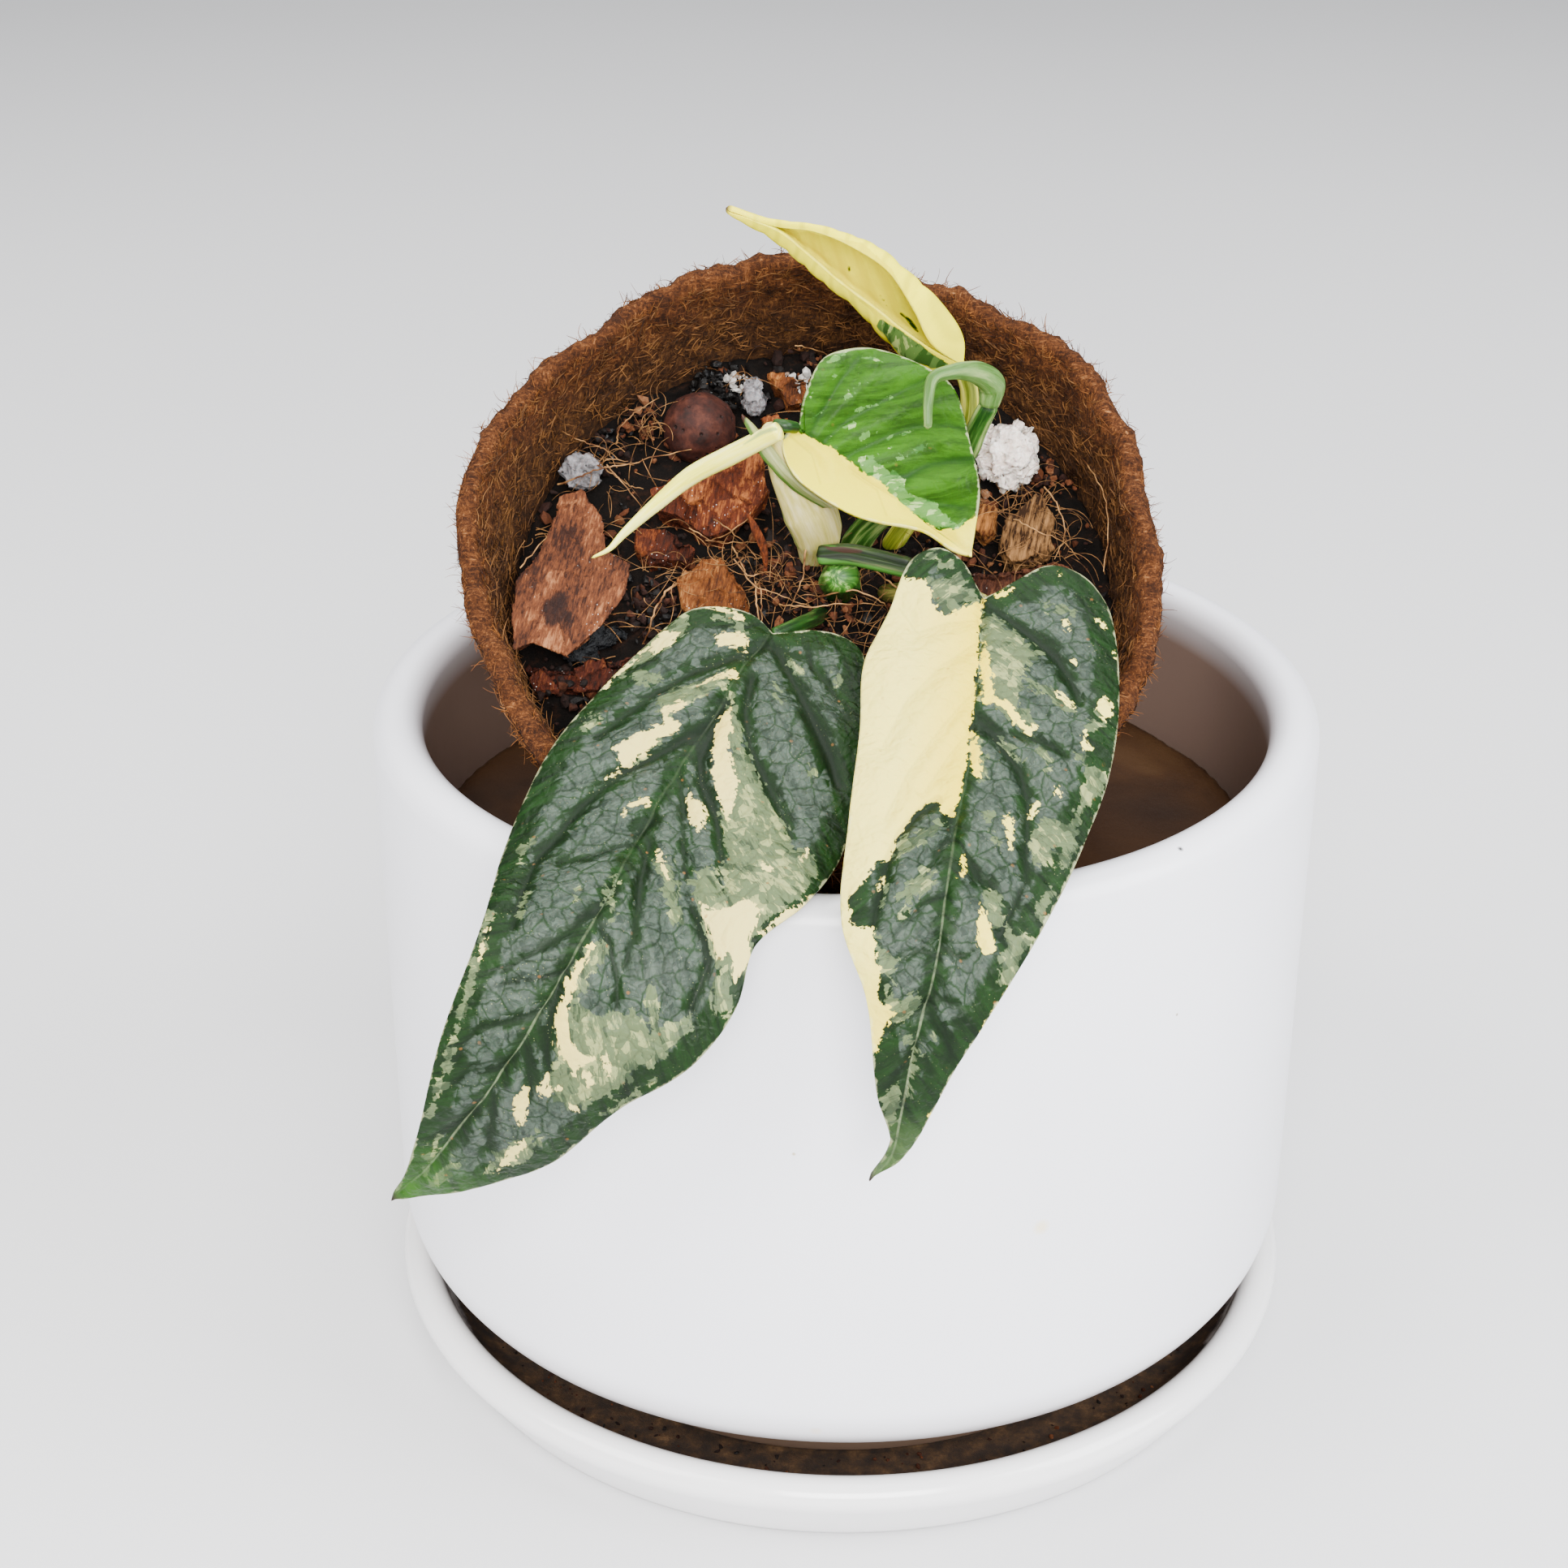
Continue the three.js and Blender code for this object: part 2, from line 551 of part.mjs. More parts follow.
// A stalk: rings along a route, round or flattened in depth, closed at both ends
function stalk({ route, depthShare }) {
  const steps = 2 * (route.length - 1);
  const path = smoothCurve(route.map(overMix));
  const radii = route.map(([, , , radius], i) => [i / (route.length - 1), radius]);
  const towardsViewer = POT_AXIS.clone().add(new THREE.Vector3(0, -1, 0));
  const points = [];
  const triangles = [];
  for (let i = 0; i <= steps; i += 1) {
    const t = i / steps;
    const centre = path.getPoint(t);
    const forward = path.getTangent(t);
    const side = new THREE.Vector3().crossVectors(forward, towardsViewer).normalize();
    const lift = new THREE.Vector3().crossVectors(side, forward);
    const radius = readTable(radii, t);
    for (let k = 0; k < STALK_SIDES; k += 1) {
      const angle = (2 * Math.PI * k) / STALK_SIDES;
      points.push(centre.clone()
        .addScaledVector(side, radius * Math.cos(angle))
        .addScaledVector(lift, depthShare * radius * Math.sin(angle)));
    }
  }
  for (let i = 0; i < steps; i += 1) {
    for (let k = 0; k < STALK_SIDES; k += 1) {
      const next = (k + 1) % STALK_SIDES;
      const [a, b] = [i * STALK_SIDES + k, i * STALK_SIDES + next];
      triangles.push(a, b, a + STALK_SIDES, b, b + STALK_SIDES, a + STALK_SIDES);
    }
  }
  for (const ring of [0, steps]) {
    for (let k = 1; k < STALK_SIDES - 1; k += 1) {
      const fan = [ring * STALK_SIDES, ring * STALK_SIDES + k, ring * STALK_SIDES + k + 1];
      triangles.push(...(ring === 0 ? fan.reverse() : fan));
    }
  }
  return outward(body(points, triangles));
}

// A chip of bark or husk: its seen face, and a back face that is a little smaller
function chip({ corners, thickness }) {
  const face = corners.map(overMix);
  const middle = face.reduce((sum, point) => sum.add(point), new THREE.Vector3()).divideScalar(face.length);
  const back = face.map((point) => point.clone().lerp(middle, 0.12).addScaledVector(POT_AXIS, -thickness));
  const flat = corners.map(([column, row]) => new THREE.Vector2(column, row));
  const cap = THREE.ShapeUtils.triangulateShape(flat, []);
  const count = face.length;
  const triangles = cap.flatMap(([a, b, c]) => [a, b, c, a + count, c + count, b + count]);
  const turn = THREE.ShapeUtils.area(flat) > 0 ? 1 : -1;
  for (let i = 0; i < count; i += 1) {
    const [a, b] = turn > 0 ? [i, (i + 1) % count] : [(i + 1) % count, i];
    triangles.push(a, a + count, b, b, a + count, b + count);
  }
  return outward(body([...face, ...back], triangles));
}

// A rounded lump with a knobbly surface
function lump({ centre, sizes, rough, detail, turn = 0 }) {
  const geometry = welded(new THREE.IcosahedronGeometry(1, detail));
  const position = geometry.getAttribute('position');
  const point = new THREE.Vector3();
  for (let i = 0; i < position.count; i += 1) {
    point.fromBufferAttribute(position, i);
    const knob = Math.sin(4.1 * point.x + 1) * Math.sin(3.7 * point.y + 2) * Math.sin(4.3 * point.z + 0.5);
    const knob2 = Math.sin(8.3 * point.x + 3 * point.y) * Math.sin(7.1 * point.z + 2 * point.x);
    point.multiplyScalar(0.5 * (1 + rough * (1.5 * knob + knob2)));
    position.setXYZ(i, point.x * sizes[0], point.y * sizes[1], point.z * sizes[2]);
  }
  const at = overMix(centre);
  return outward(geometry.rotateZ(turn).rotateX(POT_TILT).translate(at.x, at.y, at.z));
}

// The same body with its faces turned outwards
function outward(geometry) {
  const position = geometry.getAttribute('position');
  const index = geometry.index.array;
  const [a, b, c] = [new THREE.Vector3(), new THREE.Vector3(), new THREE.Vector3()];
  let volume = 0;
  for (let i = 0; i < index.length; i += 3) {
    a.fromBufferAttribute(position, index[i]);
    b.fromBufferAttribute(position, index[i + 1]);
    c.fromBufferAttribute(position, index[i + 2]);
    volume += a.dot(b.cross(c));
  }
  if (volume < 0) geometry.setIndex([...index].reverse());
  return geometry;
}

const model = new THREE.Group();

function add(name, geometry, color, roughness) {
  const mesh = new THREE.Mesh(geometry, new THREE.MeshStandardMaterial({ color, roughness, metalness: 0 }));
  mesh.name = name;
  model.add(mesh);
}

function makeAll(table, make) {
  return Object.fromEntries(Object.entries(table).map(([name, item]) => [name, make(item)]));
}

const leaves = makeAll(LEAVES, leafBlade);
const stalks = makeAll(STALKS, stalk);
const chips = makeAll(CHIPS, chip);
const lumps = makeAll(LUMPS, lump);
const embedded = [...Object.values(stalks), ...Object.values(chips), ...Object.values(lumps)];

add('saucer', saucer(), 0xf0efee, 0.12);
add('planter', planter(), 0xf1f1f2, 0.28);
add('planter_fill', planterFill(), 0x4a2f1e, 0.95);
add('coir_pot', coirPot(), 0x8f5f38, 0.95);
add('potting_mix', pottingMix(embedded), 0x2a1c14, 0.98);
for (const [name, geometry] of Object.entries(chips)) add(name, geometry, CHIPS[name].color, 0.85);
for (const [name, geometry] of Object.entries(lumps)) add(name, geometry, LUMPS[name].color, 0.9);
for (const [name, geometry] of Object.entries(stalks)) add(name, geometry, STALKS[name].color, 0.45);
for (const [name, geometry] of Object.entries(leaves)) add(name, geometry, LEAVES[name].color, 0.4);

export default model;
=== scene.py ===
import math
import random

import bmesh
import bpy
import numpy as np
from mathutils import Matrix, Vector, noise


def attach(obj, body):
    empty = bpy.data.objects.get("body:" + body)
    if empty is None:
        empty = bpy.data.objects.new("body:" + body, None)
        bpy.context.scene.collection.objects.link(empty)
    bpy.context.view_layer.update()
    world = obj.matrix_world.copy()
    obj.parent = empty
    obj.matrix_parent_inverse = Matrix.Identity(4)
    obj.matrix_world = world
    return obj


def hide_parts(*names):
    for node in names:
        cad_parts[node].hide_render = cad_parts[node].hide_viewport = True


bl_info = {
    "name": "Potted variegated monstera",
    "version": (1, 0, 0),
    "blender": (4, 5, 0),
    "location": "3D View > Sidebar > Potted plant",
    "description": "A young variegated climbing aroid in a torn coir pot, tilted in a white glazed planter",
    "category": "Add Mesh",
}

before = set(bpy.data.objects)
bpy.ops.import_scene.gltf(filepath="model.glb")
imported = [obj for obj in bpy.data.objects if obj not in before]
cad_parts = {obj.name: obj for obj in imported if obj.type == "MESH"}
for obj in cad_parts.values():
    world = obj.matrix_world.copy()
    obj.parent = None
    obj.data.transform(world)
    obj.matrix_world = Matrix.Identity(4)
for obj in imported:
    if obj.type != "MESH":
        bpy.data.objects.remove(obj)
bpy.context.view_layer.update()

# Lengths below are millimetres; a mesh is scaled to metres when it is made
METRES = 0.001

# The photograph's viewpoint. Columns and rows are in its 1932 x 1932 frame.
FRAME_PIXELS = 1932
FOCAL_PIXELS = 3400
EYE = np.array([-9.9, -407.4, 298.6])
DIP = math.radians(26.31)
PIXEL_SIZE = 0.13

# The coir pot: its tilt, its mouth and the mix inside it
POT_TILT = math.radians(37.7)
POT_HEIGHT = 80.0
POT_MOUTH_RADIUS = 54.0
POT_FLARE = 0.17
POT_WALL = 3.6
MIX_DEPTH = 18.0
MOUTH_CENTRE = np.array([-5.3, -15.8, 146.1])
POT_AXIS = np.array([0.0, -math.sin(POT_TILT), math.cos(POT_TILT)])
MIX_CENTRE = MOUTH_CENTRE - MIX_DEPTH * POT_AXIS
# How far from the pot's axis loose pieces lie, how many points a fine strand has and how many grains the
# saucer holds
MIX_REACH = 46.0
STRAND_POINTS = 9
SAUCER_GRAINS = 420
# Degrees round the torn rim, and millimetres that it stands out there
RIM_BULGES = [(-60, 0), (-30, 1), (-10, -0.8), (10, -2.6), (24, -0.4), (40, 0.3), (55, -1.4), (70, -1),
              (85, 0.4), (120, 0.5), (131, -1.2), (144, 0.5), (168, 1.4), (185, 0), (203, -1), (225, 0.8),
              (260, 0), (300, 0)]

# Leaves. depths says how far back, along Y, a photo row of the leaf is. The midrib, both margins and the
# folds are photo column and row, with a third number for millimetres further back. Grooves, cream, sage
# and flecks are streaks of column, row and half width, over and over, and the areas are outlines of column
# and row. lobe is the share of a margin behind the midrib's start, cup how far the blade is hollow, and
# vein_lean and vein_step lay out the side veins of a leaf that has no grooves of its own.
LEAVES = {}
LEAVES["leaf_left"] = {
    "depths": [
        (745, -24), (787, -28), (850, -38), (900, -46), (974, -56), (1053, -67), (1098, -75.5),
        (1138, -81), (1212, -87), (1302, -90), (1382, -89), (1451, -85), (1480, -83)],
    "midrib": [
        (948, 789), (913, 834), (873, 904), (828, 974), (783, 1053), (738, 1138), (694, 1212), (639, 1302),
        (579, 1382), (515, 1451), (482, 1479)],
    "left": [
        (952, 783), (927, 760), (888, 749), (853, 752), (823, 772), (758, 834), (684, 919), (629, 1028),
        (594, 1143), (544, 1277), (517, 1387), (495, 1456), (482, 1479)],
    "right": [
        (952, 783), (980, 783), (1002, 779), (1037, 785), (1062, 806), (1066, 869), (1060, 969),
        (1037, 1053), (992, 1113), (930, 1166), (908, 1240), (853, 1312), (758, 1369), (679, 1431),
        (589, 1461), (482, 1479)],
    "grooves": [
        [945, 795, 5, 900, 812, 7, 855, 828, 5, 810, 852, 4, 770, 882, 3, 736, 908, 2],
        [898, 866, 8, 862, 900, 9, 822, 924, 7, 780, 945, 6, 745, 968, 5, 712, 1000, 6, 686, 1034, 6,
         660, 1062, 6, 642, 1105, 6, 632, 1142, 4],
        [806, 1010, 8, 766, 1042, 1.5, 720, 1056, 1, 690, 1062, 1],
        [760, 1092, 5, 738, 1118, 7, 708, 1142, 5, 690, 1154, 2, 660, 1174, 1, 620, 1200, 1],
        [706, 1190, 3, 680, 1202, 2, 650, 1206, 1.5, 620, 1212, 1],
        [680, 1236, 4, 645, 1252, 4, 610, 1262, 4, 588, 1266, 3, 574, 1284, 3, 560, 1310, 2],
        [640, 1302, 3, 610, 1317, 2, 580, 1318, 2, 562, 1330, 2], [590, 1368, 4, 566, 1382, 3, 546, 1394, 2],
        [955, 800, 6, 980, 846, 6, 1002, 890, 11, 1020, 930, 12, 1032, 968, 6],
        [958, 797, 4, 995, 815, 2, 1022, 848, 1.5, 1044, 886, 2],
        [925, 838, 7, 918, 880, 6, 924, 920, 6, 944, 962, 7, 962, 1000, 6, 974, 1030, 3],
        [884, 890, 7, 862, 934, 8, 864, 966, 9, 882, 1006, 7, 888, 1050, 5, 888, 1094, 3],
        [838, 960, 3, 842, 1000, 1.5, 842, 1060, 1.5, 850, 1110, 2, 866, 1146, 7, 876, 1180, 8,
         862, 1214, 5, 850, 1246, 5], [800, 1040, 5, 788, 1090, 5, 783, 1130, 3, 776, 1170, 4, 768, 1192, 3],
        [742, 1144, 6, 752, 1174, 3, 760, 1204, 3, 760, 1242, 4],
        [690, 1214, 4, 676, 1262, 8, 674, 1304, 7, 680, 1330, 2], [650, 1292, 5, 654, 1330, 4, 654, 1352, 3],
        [610, 1346, 4, 606, 1380, 4, 600, 1412, 3],
    ],
    "cream_areas": [
        [838, 786, 829, 798, 808, 808, 790, 806, 776, 818, 752, 838, 745, 852, 762, 836, 788, 812,
         812, 790, 816, 776], [880, 788, 890, 782, 912, 783, 922, 792, 918, 799, 886, 798],
        [818, 880, 826, 888, 838, 890, 836, 902, 812, 914, 800, 926, 780, 936, 776, 948, 766, 942,
         760, 932, 756, 926, 770, 918, 786, 908, 802, 900, 816, 896],
        [848, 972, 854, 984, 866, 992, 868, 1006, 866, 1022, 860, 1026, 850, 1010, 846, 994],
        [882, 900, 890, 880, 900, 872, 902, 900, 896, 924, 902, 944, 908, 968, 904, 990, 898, 1010,
         888, 990, 880, 966, 876, 930],
        [862, 1112, 874, 1122, 896, 1124, 916, 1114, 938, 1124, 928, 1146, 924, 1160, 924, 1186, 914, 1200,
         906, 1212, 904, 1190, 898, 1176, 886, 1182, 878, 1164, 872, 1142],
        [696, 1222, 700, 1200, 708, 1214, 700, 1240, 700, 1258, 704, 1280, 716, 1296, 736, 1300, 716, 1308,
         708, 1322, 698, 1306, 688, 1290, 684, 1262, 688, 1240],
        [644, 1340, 652, 1342, 650, 1356, 648, 1378, 640, 1384, 634, 1370, 634, 1352],
        [646, 1396, 652, 1404, 634, 1424, 612, 1440, 620, 1424, 634, 1406],
    ],
    "cream": [
        [856, 746, 2, 884, 750, 2, 906, 760, 3, 918, 768, 1], [862, 850, 1, 880, 838, 3, 906, 832, 4],
        [838, 872, 4, 820, 880, 3], [746, 960, 1, 764, 950, 3], [768, 1006, 2, 780, 996, 2, 796, 990, 2],
        [812, 1052, 2, 822, 1085, 3], [730, 1164, 2, 714, 1192, 4, 704, 1216, 4],
        [722, 1320, 4, 728, 1330, 3], [746, 1296, 4, 750, 1316, 5],
        [672, 1326, 3, 668, 1344, 4, 690, 1340, 4], [1000, 1106, 2, 968, 1130, 3, 940, 1150, 3],
        [988, 1062, 4, 994, 1054, 3], [940, 1072, 4, 950, 1078, 3], [602, 1144, 2, 592, 1180, 2],
        [700, 1356, 1, 712, 1362, 2],
    ],
    "sage_areas": [
        [902, 852, 912, 880, 914, 924, 932, 946, 946, 974, 960, 1008, 972, 1020, 976, 1046, 1000, 1052,
         1004, 1078, 992, 1100, 960, 1124, 940, 1142, 924, 1190, 908, 1212, 900, 1250, 880, 1250,
         872, 1230, 884, 1206, 884, 1170, 872, 1130, 856, 1100, 852, 1072, 884, 1072, 892, 1100, 896, 1060,
         892, 1000, 900, 966, 892, 900],
        [692, 1236, 716, 1242, 760, 1246, 792, 1250, 804, 1270, 848, 1250, 856, 1264, 832, 1290, 792, 1312,
         772, 1330, 742, 1350, 708, 1360, 684, 1350, 672, 1332, 686, 1312, 690, 1270],
        [796, 1216, 812, 1208, 816, 1246, 806, 1266, 796, 1240],
        [812, 1056, 826, 1064, 834, 1096, 836, 1140, 826, 1146, 818, 1110, 808, 1076],
        [812, 862, 836, 850, 874, 842, 900, 826, 896, 844, 868, 860, 842, 874, 828, 890, 812, 880],
        [722, 1168, 744, 1164, 738, 1196, 716, 1230, 700, 1236, 704, 1200],
    ],
    "sage": [
        [846, 758, 5, 836, 780, 10, 806, 800, 10, 766, 832, 5], [880, 760, 3, 912, 774, 8],
        [784, 836, 5, 806, 838, 6], [740, 884, 2, 724, 898, 2],
        [600, 1130, 5, 590, 1180, 4, 572, 1240, 4, 548, 1320, 4, 530, 1372, 4],
        [656, 1396, 8, 636, 1416, 12, 600, 1436, 6], [540, 1400, 5, 524, 1440, 5],
        [556, 1430, 7, 536, 1450, 7], [708, 1112, 2, 716, 1100, 3],
        [740, 1110, 3, 760, 1080, 3, 752, 1130, 3], [650, 1100, 2, 640, 1130, 2], [780, 940, 3, 812, 912, 2],
        [954, 850, 2, 966, 880, 2], [970, 816, 3, 982, 826, 4], [1018, 834, 2, 1030, 842, 3],
        [640, 1060, 3, 652, 1040, 3], [738, 1372, 2, 790, 1344, 4, 808, 1330, 2],
        [1000, 945, 2, 1004, 975, 2],
    ],
    "lobe": 0.16, "cup": -2.2, "grid": (110, 260),
}
LEAVES["leaf_right"] = {
    "depths": [
        (676, -24), (746, -31), (817, -42), (885, -52), (948, -60), (1016, -69), (1078, -77), (1110, -81),
        (1199, -88), (1277, -91), (1377, -91), (1455, -89)],
    "midrib": [
        (1209, 746), (1207, 817), (1199, 885), (1194, 948), (1180, 1016), (1165, 1110), (1152, 1199),
        (1131, 1277), (1110, 1377), (1097, 1429), (1071, 1455)],
    "left": [
        (1212, 738), (1199, 718), (1183, 691), (1157, 676), (1125, 689), (1094, 759), (1065, 820),
        (1060, 900), (1046, 1016), (1038, 1141), (1068, 1230), (1081, 1350), (1097, 1405), (1071, 1455)],
    "right": [
        (1212, 738), (1235, 728), (1262, 712), (1288, 699), (1314, 701), (1340, 715), (1361, 744),
        (1376, 800), (1376, 900), (1361, 974), (1319, 1078), (1277, 1157), (1225, 1241), (1173, 1324),
        (1110, 1428), (1071, 1455)],
    "grooves": [
        [1212, 738, 4, 1240, 762, 4, 1272, 786, 7, 1300, 810, 9, 1320, 840, 6, 1328, 862, 4],
        [1206, 884, 4, 1218, 898, 6, 1236, 924, 6, 1256, 950, 6, 1266, 990, 5, 1264, 1040, 5,
         1264, 1086, 5, 1246, 1124, 5, 1232, 1154, 6],
        [1212, 898, 2, 1250, 904, 1, 1280, 912, 1, 1312, 926, 1],
        [1190, 1056, 4, 1202, 1080, 5, 1222, 1094, 2, 1236, 1110, 1],
        [1160, 1164, 5, 1176, 1180, 1, 1190, 1176, 1, 1206, 1166, 1],
        [1152, 1226, 3, 1170, 1236, 1, 1184, 1236, 1], [1148, 1250, 3, 1164, 1276, 4, 1172, 1304, 5],
        [1136, 1290, 3, 1148, 1320, 3],
        [1156, 986, 6, 1134, 1000, 5, 1110, 1026, 5, 1094, 1062, 6, 1082, 1106, 7, 1076, 1140, 6],
        [1172, 1000, 4, 1168, 1030, 5, 1150, 1060, 3, 1130, 1084, 1],
        [1164, 1100, 5, 1136, 1112, 1, 1108, 1130, 1], [1158, 1176, 6, 1130, 1172, 2, 1106, 1184, 2],
        [1148, 1232, 6, 1116, 1252, 3, 1096, 1268, 3], [1128, 1290, 4, 1108, 1320, 3, 1092, 1342, 3],
        [1206, 790, 0.4, 1160, 820, 0.3, 1115, 866, 0.2, 1088, 920, 0.2],
        [1206, 764, 0.4, 1165, 768, 0.3, 1130, 780, 0.2, 1108, 750, 0.2],
        [1201, 850, 0.4, 1160, 896, 0.3, 1120, 950, 0.2, 1090, 1010, 0.2],
        [1196, 900, 0.4, 1170, 930, 0.3, 1140, 975, 0.2],
    ],
    "cream_areas": [
        [1213, 741, 1206, 769, 1203, 825, 1197, 889, 1190, 945, 1182, 975, 1174, 1004, 1160, 1004,
         1157, 984, 1141, 988, 1124, 1006, 1105, 1033, 1096, 1058, 1080, 1064, 1064, 1090, 1050, 1108,
         1046, 1130, 1056, 1146, 1076, 1142, 1080, 1180, 1086, 1202, 1082, 1232, 1106, 1246, 1096, 1262,
         1086, 1272, 1080, 1295, 1050, 1290, 1015, 1150, 1025, 1000, 1035, 850, 1075, 760, 1105, 700,
         1119, 716, 1142, 720, 1152, 748, 1165, 758, 1184, 751, 1206, 744],
        [1352, 868, 1362, 862, 1370, 872, 1368, 884, 1360, 892, 1350, 880],
        [1330, 908, 1338, 906, 1340, 920, 1350, 926, 1334, 932],
        [1260, 890, 1276, 898, 1268, 906, 1252, 896, 1240, 880, 1228, 872, 1212, 866, 1208, 820, 1214, 790,
         1220, 830, 1226, 862, 1244, 870],
        [1204, 1112, 1214, 1124, 1222, 1146, 1228, 1176, 1214, 1176, 1204, 1160],
        [1186, 1050, 1190, 1070, 1190, 1084, 1182, 1084, 1182, 1066],
    ],
    "cream": [
        [1286, 1158, 1, 1262, 1196, 3, 1240, 1232, 7, 1216, 1268, 7, 1196, 1310, 5, 1170, 1346, 4,
         1146, 1376, 2], [1198, 900, 3, 1202, 940, 5, 1206, 962, 3],
        [1242, 1012, 4, 1244, 1030, 4, 1244, 1046, 3], [1310, 770, 3, 1316, 778, 3],
        [1322, 816, 3, 1326, 820, 2], [1352, 768, 3, 1358, 776, 3], [1276, 996, 3, 1272, 1006, 3],
        [1302, 976, 2, 1304, 984, 2], [1302, 860, 3, 1320, 872, 4], [1082, 1092, 2, 1090, 1082, 2],
        [1228, 736, 1, 1248, 728, 2], [1302, 706, 1, 1304, 714, 1], [1372, 806, 1, 1373, 816, 1],
    ],
    "sage_areas": [
        [1142, 718, 1155, 715, 1179, 712, 1199, 727, 1209, 744, 1184, 752, 1166, 760, 1152, 750],
        [1216, 748, 1236, 764, 1262, 790, 1284, 806, 1270, 824, 1262, 836, 1290, 850, 1312, 868, 1322, 880,
         1300, 874, 1276, 852, 1262, 846, 1256, 876, 1278, 900, 1254, 896, 1234, 876, 1210, 862, 1206, 800],
        [1282, 744, 1300, 750, 1316, 748, 1324, 758, 1312, 762, 1290, 760],
        [1336, 950, 1356, 946, 1364, 960, 1352, 984, 1338, 1000, 1330, 1026, 1322, 1052, 1312, 1066,
         1308, 1046, 1290, 1052, 1290, 1070, 1276, 1066, 1272, 1030, 1282, 1016, 1312, 1016, 1332, 990],
        [1242, 1138, 1256, 1152, 1272, 1158, 1250, 1196, 1240, 1216, 1230, 1210, 1232, 1170],
        [1208, 1092, 1226, 1096, 1240, 1120, 1228, 1146, 1210, 1120],
        [1100, 1040, 1130, 1026, 1160, 1008, 1176, 1006, 1160, 1024, 1132, 1042, 1106, 1060],
        [1076, 1148, 1090, 1170, 1104, 1180, 1100, 1200, 1088, 1200, 1078, 1190],
        [1086, 1212, 1096, 1204, 1104, 1212, 1096, 1226, 1110, 1240, 1130, 1222, 1136, 1232, 1112, 1256,
         1092, 1250], [1088, 1356, 1098, 1340, 1108, 1330, 1110, 1350, 1100, 1390, 1092, 1376],
    ],
    "sage": [
        [1150, 1082, 3, 1124, 1098, 5, 1112, 1128, 3], [1148, 688, 2, 1158, 696, 3],
        [1168, 692, 2, 1172, 702, 2], [1106, 1108, 3, 1140, 1070, 3],
        [1198, 905, 6, 1208, 960, 5, 1212, 980, 2], [1352, 884, 8, 1346, 900, 5, 1360, 896, 4],
        [1320, 940, 4, 1336, 930, 3], [1220, 1010, 2, 1226, 1040, 2], [1120, 1282, 6, 1128, 1306, 5],
        [1148, 1264, 3, 1152, 1280, 3], [1230, 912, 2, 1256, 936, 2], [1284, 930, 3, 1292, 946, 3],
        [1220, 772, 4, 1210, 752, 5], [1292, 1100, 3, 1278, 1130, 3], [1124, 1320, 2, 1118, 1350, 2],
        [1088, 1120, 2, 1094, 1094, 2],
    ],
    "lobe": 0.14, "cup": -1.6, "grid": (100, 240),
}
LEAVES["leaf_middle"] = {
    "depths": [(425, -3), (530, -10), (610, -14), (690, -18)],
    "midrib": [(990, 531), (1056, 580), (1110, 616), (1145, 646), (1175, 668), (1196, 685)],
    "left": [
        (984, 526), (993, 484), (1014, 442), (1050, 429), (1080, 430), (1145, 454), (1175, 478),
        (1194, 540), (1207, 604), (1202, 650), (1196, 685)],
    "right": [
        (984, 526), (968, 536), (964, 552), (978, 585), (1008, 610), (1050, 634), (1080, 643), (1139, 655),
        (1175, 679), (1196, 685)],
    "grooves": [
        [998, 534, 1, 1016, 500, 1.5, 1036, 468, 1.5, 1058, 440, 1],
        [1014, 544, 2, 1044, 518, 2, 1084, 496, 2, 1128, 474, 1.5, 1150, 462, 1],
        [1044, 562, 3, 1084, 542, 3, 1126, 526, 2.5, 1170, 522, 2, 1190, 530, 1],
        [1080, 586, 3, 1116, 588, 6, 1146, 572, 3, 1176, 566, 5, 1198, 566, 4],
        [1120, 618, 3, 1150, 620, 2, 1184, 624, 3, 1204, 618, 2],
        [972, 536, 0.3, 1000, 560, 0.3, 1010, 596, 0.2], [1050, 584, 0.3, 1080, 604, 0.3, 1092, 636, 0.2],
    ],
    "cream_areas": [
        [974, 528, 1000, 538, 1030, 556, 1068, 584, 1092, 598, 1112, 622, 1134, 640, 1160, 652, 1182, 653,
         1194, 640, 1204, 634, 1214, 650, 1204, 700, 1150, 690, 1060, 660, 990, 620, 955, 560],
    ],
    "sage_areas": [
        [1052, 566, 1076, 564, 1090, 578, 1112, 588, 1120, 606, 1136, 612, 1156, 620, 1164, 634, 1180, 646,
         1190, 640, 1184, 654, 1160, 652, 1134, 642, 1112, 624, 1088, 600, 1064, 584],
    ],
    "sage": [
        [1084, 560, 1, 1100, 552, 3, 1110, 562, 2], [1102, 590, 3, 1116, 594, 2],
        [1030, 498, 1.5, 1044, 490, 2.5, 1056, 484, 1], [1046, 482, 1.5, 1060, 474, 3, 1072, 472, 1.5],
        [1024, 470, 2, 1028, 464, 2.5], [1060, 540, 2, 1072, 534, 2.5, 1080, 530, 1],
        [1024, 536, 1, 1040, 528, 1.5, 1060, 520, 1], [1050, 506, 1, 1080, 498, 1.5, 1104, 486, 1],
        [1002, 514, 1.5, 1016, 504, 1], [998, 490, 1.5, 1002, 480, 1], [1096, 540, 1, 1120, 532, 1],
        [1060, 438, 1, 1100, 450, 1, 1130, 456, 1], [1020, 446, 1.5, 1040, 436, 1],
        [1120, 560, 1.5, 1140, 550, 2, 1156, 542, 1], [1160, 600, 1, 1168, 600, 1],
    ],
    "lobe": 0.08, "cup": 2.4, "grid": (90, 150),
}
